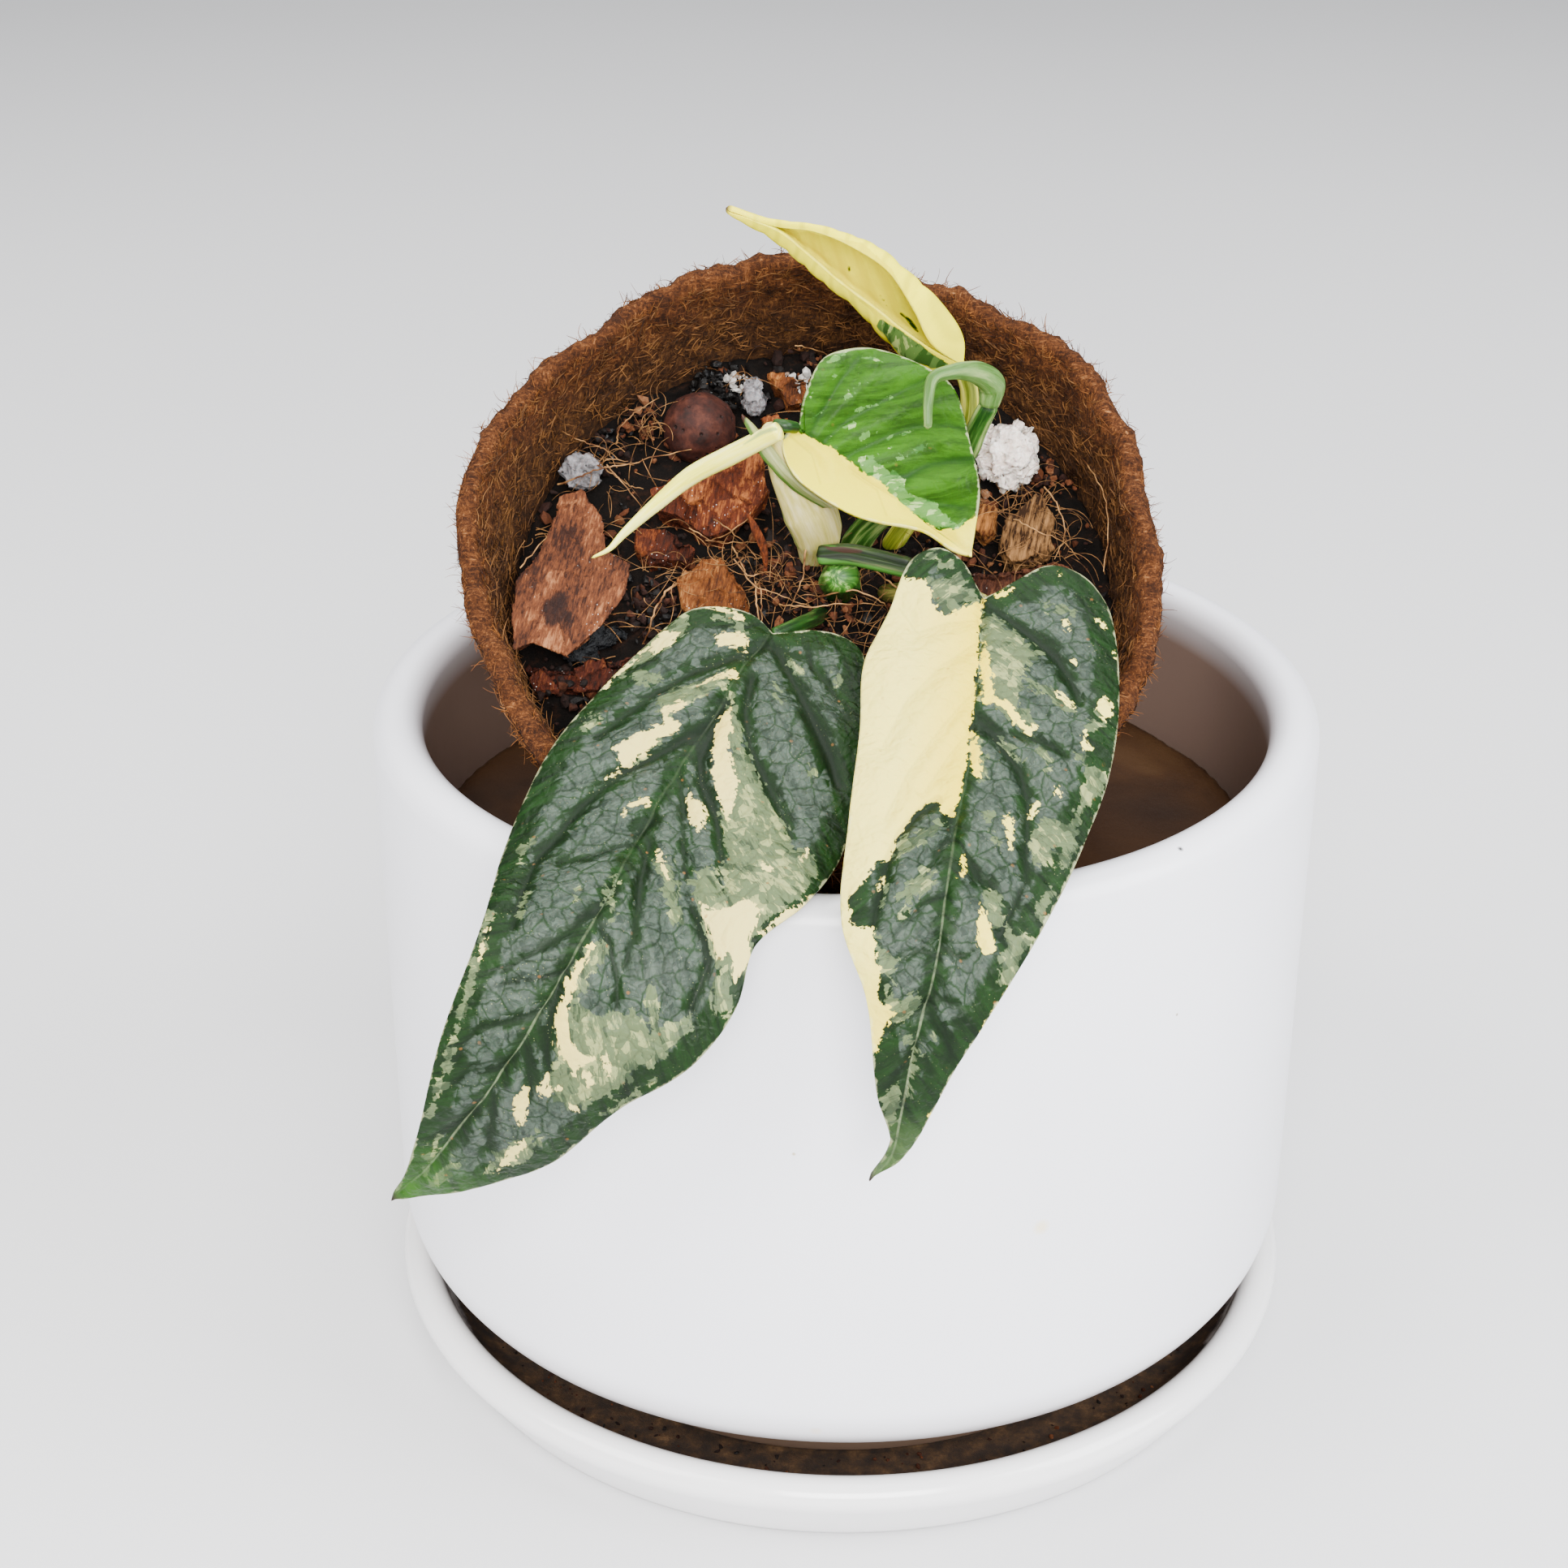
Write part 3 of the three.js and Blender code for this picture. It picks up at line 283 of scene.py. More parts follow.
LEAVES["leaf_upper"] = {
    "depths": [(255, -1), (300, 2), (445, 3)],
    "midrib": [
        (1180, 446, 1), (1148, 426, 3), (1100, 392, 5), (1056, 358, 5), (1010, 320, 4), (966, 288, 2),
        (896, 257)],
    "left": [
        (1186, 450), (1147, 428, -1.5), (1110, 403, -2.5), (1060, 366, -2.5), (1010, 325, -2),
        (962, 286, -1), (896, 257)],
    "left_fold": [(1186, 450), (1147, 455), (1096, 418), (1056, 377), (1006, 337), (957, 296), (896, 257)],
    "right": [
        (1186, 450), (1147, 424, -2), (1127, 385, -2.5), (1098, 339, -2.5), (1059, 310, -2),
        (1006, 286, -1), (957, 279, -0.5), (896, 257)],
    "right_fold": [
        (1186, 450), (1181, 419), (1147, 364), (1110, 330), (1055, 295), (1006, 278), (941, 270),
        (896, 257)],
    "cream_areas": [
        [1060, 300, 1098, 332, 1127, 382, 1150, 426, 1190, 452, 1200, 440, 1170, 370, 1120, 318, 1060, 284,
         1000, 268, 890, 250, 890, 262, 960, 300, 1010, 340, 1060, 382, 1082, 400, 1084, 392, 1040, 352,
         1000, 318, 966, 288, 960, 279, 1000, 286],
    ],
    "sage": [
        [1086, 398, 5, 1104, 412, 9, 1126, 430, 11, 1150, 444, 8, 1166, 448, 3],
    ],
    "flecks": [
        [1046, 328, 1.5, 1047, 333, 1.5], [1084, 364, 1.2, 1089, 370, 1.2], [1092, 376, 1.2, 1094, 377, 1],
        [1111, 386, 2.2, 1116, 390, 1.6, 1121, 396, 2.4, 1127, 405, 2.6, 1130, 409, 1.5],
    ],
    "lobe": 0.03, "cup": 0.0, "grid": (96, 170), "vein_lean": (1.6, 1.6), "vein_step": 5.5,
}

# Stalks: photo column and row, height over the mix, and radius. A depth is the share of the width that a
# stalk's section has towards the viewer.
STALKS = {
    "leaf_sheath": [
        (949, 531, 27, 1.3), (970, 580, 20, 2.8), (997, 628, 12, 4.3), (1008, 658, 6, 4),
        (1006, 684, 0, 2.8)],
    "stem_node": [(1033, 722, -4, 3.2), (1035, 716, 2, 3.3), (1037, 710, 7, 2.7)],
    "cut_petiole": [
        (1012, 684, 9.5, 1.6), (1045, 683, 10.5, 1.7), (1080, 690, 11, 1.7), (1117, 699, 11.5, 1.7)],
    "petiole_shoot": [
        (1218, 500, 27.1, 1.4), (1205, 526, 23, 1.5), (1190, 560, 18, 1.5), (1140, 606, 12, 1.6),
        (1080, 640, 7, 1.9), (1056, 668, 1, 2.2), (1052, 680, -3, 2.2)],
    "petiole_upper": [
        (1187, 455, 24, 1.3), (1194, 480, 21, 1.3), (1192, 515, 17, 1.4), (1170, 556, 12, 1.4),
        (1140, 610, 7, 1.5), (1104, 664, 1, 1.6), (1096, 676, -3, 1.6)],
    "petiole_middle": [(980, 527, 27.7, 0.9), (968, 525, 29, 1), (956, 524, 28.6, 1)],
    "petiole_left": [(955, 782, 16.1, 1.1), (978, 772, 14, 1.1), (1000, 764, 7, 1.3), (1012, 756, -3, 1.4)],
    "petiole_right": [
        (1211, 741, 22.8, 1.1), (1184, 730, 18, 1.2), (1146, 726, 10, 1.4), (1104, 730, 2.5, 1.5),
        (1088, 732, -3, 1.5)],
    "rolled_leaf": [
        (959, 531, 30.4, 1.4), (900, 561, 25, 1.55), (852, 586, 21, 1.45), (810, 620, 18, 1.1),
        (768, 658, 15, 0.65), (750, 677, 14, 0.4), (732, 686, 13.5, 0.2)],
    "curled_shoot": [
        (1219, 497, 28.4, 1.6), (1222, 474, 31, 2.1), (1208, 461, 34, 1.8), (1188, 457, 36.5, 1.4),
        (1168, 459, 38, 1.1), (1150, 466, 38.5, 1), (1144, 492, 38, 0.8), (1143, 524, 36.5, 0.6)],
}
STALK_DEPTHS = {"leaf_sheath": 0.7, "cut_petiole": 0.8}

# Upper and lower edge of the papery bract on the sheath: photo column and row, height over the mix
BRACT = [
    [(914, 511, 31), (928, 523, 30), (941, 538, 28), (953, 552, 26.5), (966, 570, 24.2), (980, 587, 22),
     (1000, 606, 19), (1030, 628, 15.8)],
    [(914, 515, 31), (922, 531, 29.6), (931, 548, 27.6), (938, 563, 25.8), (950, 577, 24), (962, 590, 22),
     (982, 607, 18.8), (1014, 625, 16)],
]

# A splinter of bark on end: photo column and row, and height over the mix
SPLINTER = [(922, 634, 8), (932, 655, 8), (941, 676, 7), (944, 708, 5)]

# Roots and long coir strands: their radius, then photo column, row and height over the mix, over and over
ROOTS = [
    (0.22, [693, 532, 6, 707, 540, 7, 727, 547, 7, 747, 555, 6, 760, 577, 4]),
    (0.28, [688, 597, 4, 717, 587, 6, 740, 577, 7, 773, 573, 7, 800, 565, 6, 853, 554, 9]),
    (0.22, [737, 573, 6, 760, 587, 6, 773, 597, 4, 793, 603, 3]),
    (0.25, [760, 547, 3, 763, 530, 5, 777, 513, 6, 790, 503, 6, 813, 490, 4]),
    (0.2, [731, 580, 4, 747, 567, 7, 773, 568, 6]),
    (0.2, [747, 573, 7, 777, 607, 5, 793, 627, 3]),
    (0.24, [903, 673, 3, 913, 693, 5, 927, 720, 6, 953, 730, 5, 980, 742, 5, 1000, 747, 4]),
    (0.22, [837, 716, 3, 842, 708, 6, 860, 703, 7, 872, 702, 6]),
    (0.34, [837, 717, 3, 820, 730, 6, 807, 753, 6, 798, 780, 4, 793, 793, 2]),
    (0.22, [870, 667, 3, 897, 657, 5, 920, 640, 7, 930, 622, 5]),
    (0.26, [931, 716, 5, 933, 750, 6, 936, 778, 4]),
    (0.22, [936, 718, 5, 938, 748, 6, 938, 776, 4]),
    (0.3, [993, 670, 6, 990, 707, 6, 977, 742, 3]),
    (0.24, [960, 745, 3, 1000, 748, 7, 1040, 744, 8, 1090, 746, 4]),
    (0.26, [1010, 735, 4, 1050, 728, 7, 1086, 742, 6, 1094, 752, 3]),
    (0.24, [1286, 600, 8, 1304, 625, 10, 1312, 660, 8, 1300, 688, 5]),
    (0.2, [1250, 640, 7, 1280, 655, 9, 1310, 668, 7, 1330, 690, 4]),
    (0.3, [1140, 742, 4, 1100, 720, 6, 1076, 700, 5, 1066, 676, 3]),
    (0.2, [880, 640, 9, 910, 662, 6, 935, 690, 3]),
    (0.2, [640, 700, 12, 668, 668, 9, 690, 640, 3]),
    (0.22, [1330, 560, 6, 1356, 600, 12, 1366, 640, 15, 1360, 704, 14]),
    (0.2, [980, 425, 8, 1002, 430, 5, 1020, 437, 3]),
    (0.22, [905, 690, 5, 925, 710, 7, 945, 704, 6, 965, 712, 3]),
    (0.18, [850, 650, 7, 880, 668, 7, 915, 668, 4, 950, 668, 2]),
]

# Heaps of loose crumbs: photo column and row, spread in pixels, how many, lowest and highest tint
HEAPS = [
    (880, 472, 34, 130, 0.0, 0.12), (745, 548, 26, 50, 0.0, 0.3), (905, 470, 18, 26, 0.75, 0.95),
    (790, 520, 26, 60, 0.3, 0.6), (800, 745, 40, 90, 0.05, 0.4), (1010, 760, 60, 120, 0.15, 0.6),
    (960, 700, 40, 80, 0.1, 0.55), (1180, 700, 50, 60, 0.2, 0.65), (1290, 590, 30, 50, 0.2, 0.6),
    (690, 840, 40, 50, 0.1, 0.4), (985, 470, 22, 24, 0.7, 1.0), (1020, 460, 40, 60, 0.1, 0.6),
    (1120, 400, 90, 60, 0.1, 0.5), (1210, 615, 20, 20, 0.4, 0.7),
]

# Specks and stains of the planter's glaze: photo column and row, radius in millimetres and tone
GLAZE_SPECKS = [
    (1455, 1045, 0.6, 0x1B1612), (990, 1765, 0.4, 0x4A3A2C), (1283, 1512, 1.6, 0xEDE3C8),
    (1005, 1770, 1.5, 0xD9C8AE), (978, 1422, 0.35, 0xB9A98F), (1450, 1250, 0.3, 0x8C7B66),
]
# The dark stain low on the bark slab: photo column and row, and height over the mix
SLAB_STAIN = (687, 748, 9.0)

# Knots of fine fibres: photo column and row, height over the mix, spread in pixels, how many, length
TANGLES = [
    (1268, 632, 6.0, 36, 49, 9), (796, 520, 4.0, 26, 33, 6), (905, 700, 4.0, 40, 33, 8),
    (1040, 742, 4.0, 50, 38, 9), (960, 720, 5.0, 30, 27, 7), (740, 560, 4.5, 40, 22, 9),
    (1300, 680, 6.0, 30, 22, 8), (840, 720, 4.0, 30, 16, 7), (655, 660, 4.0, 14, 14, 6),
]


def linear(hexadecimal):
    """An sRGB hex value as a linear colour with alpha."""
    channels = [(hexadecimal >> shift & 255) / 255 for shift in (16, 8, 0)]
    return tuple(c / 12.92 if c <= 0.04045 else ((c + 0.055) / 1.055) ** 2.4 for c in channels) + (1.0,)


class PlanterSettings(bpy.types.PropertyGroup):
    glaze: bpy.props.FloatVectorProperty(
        name="Glaze", description="Colour of the planter's satin white glaze",
        subtype="COLOR", size=4, min=0, max=1, default=linear(0xF2F3FA))
    sediment: bpy.props.FloatVectorProperty(
        name="Sediment", description="Colour of the brown residue in the saucer's well",
        subtype="COLOR", size=4, min=0, max=1, default=linear(0x46301A))
    radius: bpy.props.FloatProperty(
        name="Radius", description="Outer radius of the planter", unit="LENGTH", default=0.076)
    wall: bpy.props.FloatProperty(
        name="Wall", description="Thickness of the planter's wall", unit="LENGTH", default=0.0079)


class PotSettings(bpy.types.PropertyGroup):
    fibre: bpy.props.FloatVectorProperty(
        name="Fibre", description="Colour of the coir on the rim",
        subtype="COLOR", size=4, min=0, max=1, default=linear(0x6C4020))
    hair_count: bpy.props.IntProperty(
        name="Rim hairs", description="Stray fibres that stand out of the torn rim", default=3600, min=0)
    matting_count: bpy.props.IntProperty(
        name="Matted fibres", description="Short fibres that lie on the wall", default=7000, min=0)


class MixSettings(bpy.types.PropertyGroup):
    crumb_count: bpy.props.IntProperty(
        name="Crumbs", description="Loose crumbs spread over the whole mix", default=1100, min=0)
    strand_count: bpy.props.IntProperty(
        name="Strands", description="Fine roots and coir strands that lie on the mix", default=380, min=0)
    seed: bpy.props.IntProperty(name="Seed", description="Seed of every scattered piece", default=7)


class PlantSettings(bpy.types.PropertyGroup):
    blade: bpy.props.FloatProperty(
        name="Blade", description="Thickness of a leaf blade", unit="LENGTH", default=0.0005)


class StageSettings(bpy.types.PropertyGroup):
    floor: bpy.props.FloatVectorProperty(
        name="Floor", description="Colour of the pale floor",
        subtype="COLOR", size=4, min=0, max=1, default=linear(0xDCDCDD))
    key_power: bpy.props.FloatProperty(
        name="Key light", description="Power of the large soft light", unit="POWER", default=50.0)


class Settings(bpy.types.PropertyGroup):
    planter: bpy.props.PointerProperty(
        type=PlanterSettings, name="Planter", description="Planter and saucer")
    pot: bpy.props.PointerProperty(type=PotSettings, name="Coir pot", description="Torn coir pot")
    mix: bpy.props.PointerProperty(type=MixSettings, name="Mix", description="Potting mix")
    plant: bpy.props.PointerProperty(type=PlantSettings, name="Plant", description="Leaves and stalks")
    stage: bpy.props.PointerProperty(
        type=StageSettings, name="Stage", description="Floor, lights and camera")


def settings():
    return bpy.context.scene.potted_plant


# Places

def sight(columns, rows, depths):
    """Points on the sight lines of photo columns and rows, at depths along Y."""
    across = (np.asarray(columns, float) - FRAME_PIXELS / 2) / FOCAL_PIXELS
    up = (FRAME_PIXELS / 2 - np.asarray(rows, float)) / FOCAL_PIXELS
    rays = np.stack([across, math.cos(DIP) + up * math.sin(DIP), up * math.cos(DIP) - math.sin(DIP)], -1)
    reach = (np.asarray(depths, float) - EYE[1]) / rays[..., 1]
    return EYE + rays * reach[..., None]


def over_mix(column, row, height):
    """The point on a sight line that is a height over the tilted surface of the mix."""
    near = sight(column, row, 0.0)
    ray = (near - EYE) / np.linalg.norm(near - EYE)
    return near + ray * (height - (near - MIX_CENTRE) @ POT_AXIS) / (ray @ POT_AXIS)


def photo_place(points):
    """Photo columns and rows of points."""
    offset = points - EYE
    depth = offset @ np.array([0, math.cos(DIP), -math.sin(DIP)])
    up = offset @ np.array([0, math.sin(DIP), math.cos(DIP)])
    centre = FRAME_PIXELS / 2
    return np.stack([centre + FOCAL_PIXELS * offset[..., 0] / depth, centre - FOCAL_PIXELS * up / depth], -1)


def travelled(line):
    """How far along a line of straight pieces each of its points is."""
    return np.concatenate([[0], np.cumsum(np.linalg.norm(np.diff(line, axis=0), axis=1))])


def smooth_line(points, pieces=16):
    """Close points on a smooth curve through the given ones, and the number of the given point at each."""
    points = np.asarray(points, float)
    padded = np.vstack([2 * points[0] - points[1], points, 2 * points[-1] - points[-2]])
    line, knots = [], []
    for i in range(len(points) - 1):
        a, b, c, d = padded[i:i + 4]
        times = np.cumsum([0.0] + [math.sqrt(np.linalg.norm(q - p)) for p, q in ((a, b), (b, c), (c, d))])
        t0, t1, t2, t3 = times
        last = i == len(points) - 2
        shares = np.linspace(0, 1, pieces, endpoint=False).tolist() + ([1.0] if last else [])
        for share in shares:
            t = t1 + share * (t2 - t1)
            ab = a + (b - a) * (t - t0) / (t1 - t0)
            bc = b + (c - b) * (t - t1) / (t2 - t1)
            cd = c + (d - c) * (t - t2) / (t3 - t2)
            abc = ab + (bc - ab) * (t - t0) / (t2 - t0)
            bcd = bc + (cd - bc) * (t - t1) / (t3 - t1)
            line.append(abc + (bcd - abc) * (t - t1) / (t2 - t1))
            knots.append(i + share)
    return np.array(line), np.array(knots)


def evenly(line, shares):
    """Points at shares of the length of a line."""
    lengths = travelled(line)
    wanted = np.clip(shares, 0, 1) * lengths[-1]
    return np.stack([np.interp(wanted, lengths, line[:, k]) for k in range(line.shape[1])], -1)


def off_line(points, line):
    """Distance of each point from a line of straight pieces, and how far along the nearest place is."""
    starts, steps = line[:-1], np.diff(line, axis=0)
    lengths = np.maximum(np.linalg.norm(steps, axis=1), 1e-9)
    best = np.full(len(points), 1e9)
    reach = np.zeros(len(points))
    travelled = 0.0
    for start, step, length in zip(starts, steps, lengths):
        share = np.clip((points - start) @ step / length ** 2, 0, 1)
        gap = np.linalg.norm(points - start - share[:, None] * step, axis=1)
        nearer = gap < best
        best[nearer] = gap[nearer]
        reach[nearer] = travelled + share[nearer] * length
        travelled += length
    return best, reach


def marked(places, streaks, areas=(), width=1.0):
    """How deep photo places lie inside streaks and areas, in millimetres; outside it is negative."""
    depth = np.full(len(places), -99.0)
    for streak in streaks:
        line = np.array(streak, float).reshape(-1, 3)
        gap, reach = off_line(places, line[:, :2])
        depth = np.maximum(depth, width * np.interp(reach, travelled(line[:, :2]), line[:, 2]) - gap)
    for area in areas:
        ring = np.array(area + area[:2], float).reshape(-1, 2)
        gap, _ = off_line(places, ring)
        inside = np.zeros(len(places), bool)
        for (x0, y0), (x1, y1) in zip(ring[:-1], ring[1:]):
            crosses = (y0 > places[:, 1]) != (y1 > places[:, 1])
            at = x0 + (places[:, 1] - y0) * (x1 - x0) / (y1 - y0 if y1 != y0 else 1e-9)
            inside ^= crosses & (places[:, 0] < at)
        depth = np.maximum(depth, np.where(inside, gap, -gap))
    return np.clip(depth * PIXEL_SIZE, -8, 8)


def lumps(points, size, octaves=4, shift=0.0):
    """Fractal noise, about -1 to 1, with its largest bumps of a size in millimetres."""
    return np.array([noise.fractal(Vector(p) / size + Vector((shift, shift, shift)), 1.0, 2.0, octaves)
                     for p in points])


def facets(points, size, shift=0.0):
    """A random value for each of the blocky cells, of a size in millimetres, that points fall in."""
    values = []
    for point in points:
        nearest = noise.voronoi(Vector(point) / size + Vector((shift, shift, shift)))[1][0]
        values.append(noise.cell(nearest * 7.3))
    return np.array(values)


# Meshes

def made_object(name, shape, scale=METRES):
    """Turns a bmesh into an object that is not in the scene yet."""
    bmesh.ops.scale(shape, vec=(scale,) * 3, verts=shape.verts)
    mesh = bpy.data.meshes.new(name)
    shape.to_mesh(mesh)
    shape.free()
    return bpy.data.objects.new(name, mesh)


def make_piece(name, shape, node, material, smooth=True):
    """Turns a bmesh in millimetres into a piece that stands for a CAD node."""
    return place_piece(made_object(name, shape), node, material, smooth)


def place_piece(piece, node, material, smooth=True):
    """Puts a piece in the scene: its shading, its material, its body and its CAD node."""
    bpy.context.scene.collection.objects.link(piece)
    piece.data.polygons.foreach_set("use_smooth", [smooth] * len(piece.data.polygons))
    piece.data.materials.clear()
    piece.data.materials.append(material)
    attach(piece, "root")
    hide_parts(node)
    return piece


def thicken(piece, thickness):
    """Gives a sheet its thickness, half to each side."""
    body = piece.modifiers.new("body", "SOLIDIFY")
    body.thickness = thickness
    body.offset = 0


def sheet(columns, rows, place):
    """A grid whose points and fields a function of two shares gives, with what coincides merged."""
    shape = bmesh.new()
    bmesh.ops.create_grid(shape, x_segments=columns, y_segments=rows, size=1.0)
    across, along = np.meshgrid(np.linspace(0, 1, columns + 1), np.linspace(0, 1, rows + 1))
    points, fields = place(across, along)
    layers = {}
    for name, values in fields.items():
        kind = shape.verts.layers.float if values.ndim == 2 else shape.verts.layers.float_vector
        layers[name] = (kind.new(name), values)
    for vert in shape.verts:
        i = round((vert.co.y + 1) / 2 * rows)
        j = round((vert.co.x + 1) / 2 * columns)
        vert.co = points[i, j]
        for layer, values in layers.values():
            vert[layer] = values[i, j]
    bmesh.ops.remove_doubles(shape, verts=shape.verts, dist=0.004)
    bmesh.ops.dissolve_degenerate(shape, edges=shape.edges, dist=1e-4)
    bmesh.ops.recalc_face_normals(shape, faces=shape.faces)
    return shape


def spun(profile, steps):
    """A full turn of a profile of [radius, height] about the upright axis."""
    shape = bmesh.new()
    verts = [shape.verts.new((radius, 0, height)) for radius, height in profile]
    edges = [shape.edges.new(pair) for pair in zip(verts, verts[1:])]
    if tuple(profile[0]) != tuple(profile[-1]) and profile[0][0] > 0:
        edges.append(shape.edges.new((verts[-1], verts[0])))
    bmesh.ops.spin(shape, geom=verts + edges, cent=(0, 0, 0), axis=(0, 0, 1), angle=math.tau, steps=steps,
                   use_merge=True, use_duplicate=False)
    bmesh.ops.remove_doubles(shape, verts=shape.verts, dist=0.002)
    bmesh.ops.dissolve_degenerate(shape, edges=shape.edges, dist=1e-4)
    bmesh.ops.recalc_face_normals(shape, faces=shape.faces)
    return shape


def arc(radius, height, round_, start, end, steps=8):
    """Points of a rounded corner, from one angle to another in degrees."""
    angles = np.radians(np.linspace(start, end, steps + 1))
    return [(radius + round_ * math.cos(a), height + round_ * math.sin(a)) for a in angles]


def stretched(profile, spacing):
    """The same profile with points no further apart than a spacing."""
    result = [profile[0]]
    for start, end in zip(profile, profile[1:]):
        count = max(1, math.ceil(math.dist(start, end) / spacing))
        result += [tuple(np.add(start, np.subtract(end, start) * k / count)) for k in range(1, count + 1)]
    return result


def tilt_matrix():
    """From the coir pot's own frame, base at height 0, to its tilted place."""
    return Matrix.Translation(MOUTH_CENTRE - POT_HEIGHT * POT_AXIS) @ Matrix.Rotation(POT_TILT, 4, "X")


def displaced(shape, amount):
    """Moves the points of a bmesh along their normals by a function of their places. A function that
    gives two values has its second one kept on the points, for their tint."""
    moves = amount(np.array([vert.co for vert in shape.verts]))
    if isinstance(moves, tuple):
        moves, tints = moves
        tint = shape.verts.layers.float.new("tint")
        for vert, value in zip(shape.verts, tints):
            vert[tint] = float(value)
    shape.normal_update()
    verts = list(shape.verts)
    for normal, vert, move in zip([vert.normal.copy() for vert in verts], verts, moves):
        vert.co += normal * float(move)


def weathered(node, voxel, amount):
    """A finer copy of a CAD node, evened out in cells of a size and roughened by a function."""
    source = bmesh.new()
    source.from_mesh(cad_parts[node].data)
    bmesh.ops.remove_doubles(source, verts=source.verts, dist=1e-6)
    bmesh.ops.recalc_face_normals(source, faces=source.faces)
    worked = made_object("copy", source, 1)
    mesh = worked.data
    bpy.context.scene.collection.objects.link(worked)
    cells = worked.modifiers.new("cells", "REMESH")
    cells.mode = "VOXEL"
    cells.voxel_size = voxel * METRES
    final = bpy.data.meshes.new_from_object(worked.evaluated_get(bpy.context.evaluated_depsgraph_get()))
    bpy.data.objects.remove(worked)
    bpy.data.meshes.remove(mesh)
    shape = bmesh.new()
    shape.from_mesh(final)
    bpy.data.meshes.remove(final)
    bmesh.ops.scale(shape, vec=(1 / METRES,) * 3, verts=shape.verts)
    bmesh.ops.smooth_vert(shape, verts=shape.verts, factor=0.5, use_axis_x=True, use_axis_y=True,
                          use_axis_z=True)
    displaced(shape, amount)
    return shape


def strands(name, lines, node, material, sides=0):
    """Fibres as tubes: each line is its points and the radius at each of them."""
    curve = bpy.data.curves.new(name, "CURVE")
    curve.dimensions = "3D"
    curve.bevel_depth = METRES
    curve.bevel_resolution = sides
    curve.use_fill_caps = True
    for points, radii in lines:
        spline = curve.splines.new("POLY")
        spline.points.add(len(points) - 1)
        spline.points.foreach_set("co", np.c_[points * METRES, np.ones(len(points))].ravel())
        spline.points.foreach_set("radius", np.asarray(radii, float))
    holder = bpy.data.objects.new(name, curve)
    mesh = bpy.data.meshes.new_from_object(holder)
    bpy.data.objects.remove(holder)
    bpy.data.curves.remove(curve)
    mesh.name = name
    return place_piece(bpy.data.objects.new(name, mesh), node, material)


def crumbs(name, places, node, material, seed):
    """Small broken lumps: each place is a point, a size and a tint."""
    draw = random.Random(seed)
    shape = bmesh.new()
    tint = shape.verts.layers.float.new("tint")
    for point, size, shade in places:
        turn = Matrix.Rotation(draw.uniform(0, math.tau), 4, Vector(
            (draw.uniform(-1, 1), draw.uniform(-1, 1), draw.uniform(-1, 1))))
        flat = Matrix.Diagonal((draw.uniform(0.7, 1.3), draw.uniform(0.6, 1.1), draw.uniform(0.4, 0.9), 1))
        made = bmesh.ops.create_icosphere(shape, subdivisions=1, radius=size / 2,
                                          matrix=Matrix.Translation(Vector(point)) @ turn @ flat)
        centre = Vector(point)
        for vert in made["verts"]:
            vert.co = centre + (vert.co - centre) * draw.uniform(0.65, 1.25)
            vert[tint] = shade
    return make_piece(name, shape, node, material, smooth=False)


# Finishes

# Settings that many nodes share, and the sockets of the node that maps one range to another
RGBA = {"out": 2, "data_type": "RGBA"}
TIMES, PLUS = {"operation": "MULTIPLY"}, {"operation": "ADD"}
TIMES_PLUS = {"operation": "MULTIPLY_ADD"}
SMOOTH = {"interpolation_type": "SMOOTHSTEP"}
FLAT = {"voronoi_dimensions": "2D"}
FLAT_EDGE = {"feature": "DISTANCE_TO_EDGE", "out": "Distance", **FLAT}
STRETCH = {"vector_type": "TEXTURE"}
XYZ = (0, 1, 2)
START, END, FIRST, LAST = "From Min", "From Max", "To Min", "To Max"


class Finish:
    """A material being made."""

    def __init__(self, name):
        self.material = bpy.data.materials.new(name)
        self.material.use_nodes = True
        self.tree = self.material.node_tree
        self.tree.nodes.clear()

    def add(self, kind, inputs=None, out=0, stops=(), **choices):
        """Adds a node with its settings and links, and gives one of its outputs, or a list of several.
        A choice that starts with a capital names an input. A whole number among the inputs or stops is
        an sRGB hex colour."""
        made = self.tree.nodes.new("ShaderNode" + kind)
        inputs = dict(inputs or {})
        for name, value in choices.items():
            if name[0].isupper():
                inputs[name.replace("_", " ")] = value
            else:
                setattr(made, name, value)
        for socket, value in inputs.items():
            if isinstance(value, bpy.types.NodeSocket):
                self.tree.links.new(value, made.inputs[socket])
            else:
                made.inputs[socket].default_value = linear(value) if isinstance(value, int) else value
        for i, (place, colour) in enumerate(stops):
            steps = made.color_ramp.elements
            step = steps[i] if i < len(steps) else steps.new(place)
            step.position = place
            step.color = linear(colour) if isinstance(colour, int) else colour
        return [made.outputs[name] for name in out] if isinstance(out, tuple) else made.outputs[out]

    def field(self, name):
        """The three parts of a field that the piece's own points hold."""
        held = self.add("Attribute", attribute_name=name, out="Vector")
        return self.add("SeparateXYZ", {0: held}, out=XYZ)

    def close(self, colour, roughness, height=None, relief=0.1, **shader):
        """Ends the material with its shader; relief is the height of its bumps in millimetres."""
        inputs = {"Base_Color": colour, "Roughness": roughness, "Specular_IOR_Level": 0.2, **shader}
        if height:
            inputs["Normal"] = self.add("Bump", Height=height, Distance=relief * METRES)
        self.add("OutputMaterial", Surface=self.add("BsdfPrincipled", **inputs), out=())
        return self.material


def on_object(name):
    """Starts a material, and gives the place on the piece that its patterns are laid out from."""
    f = Finish(name)
    return f, f.add("TexCoord", out="Object")


def grain(size):
    """Scale of a pattern on Object coordinates for features of a size in millimetres."""
    return 1 / (size * METRES)


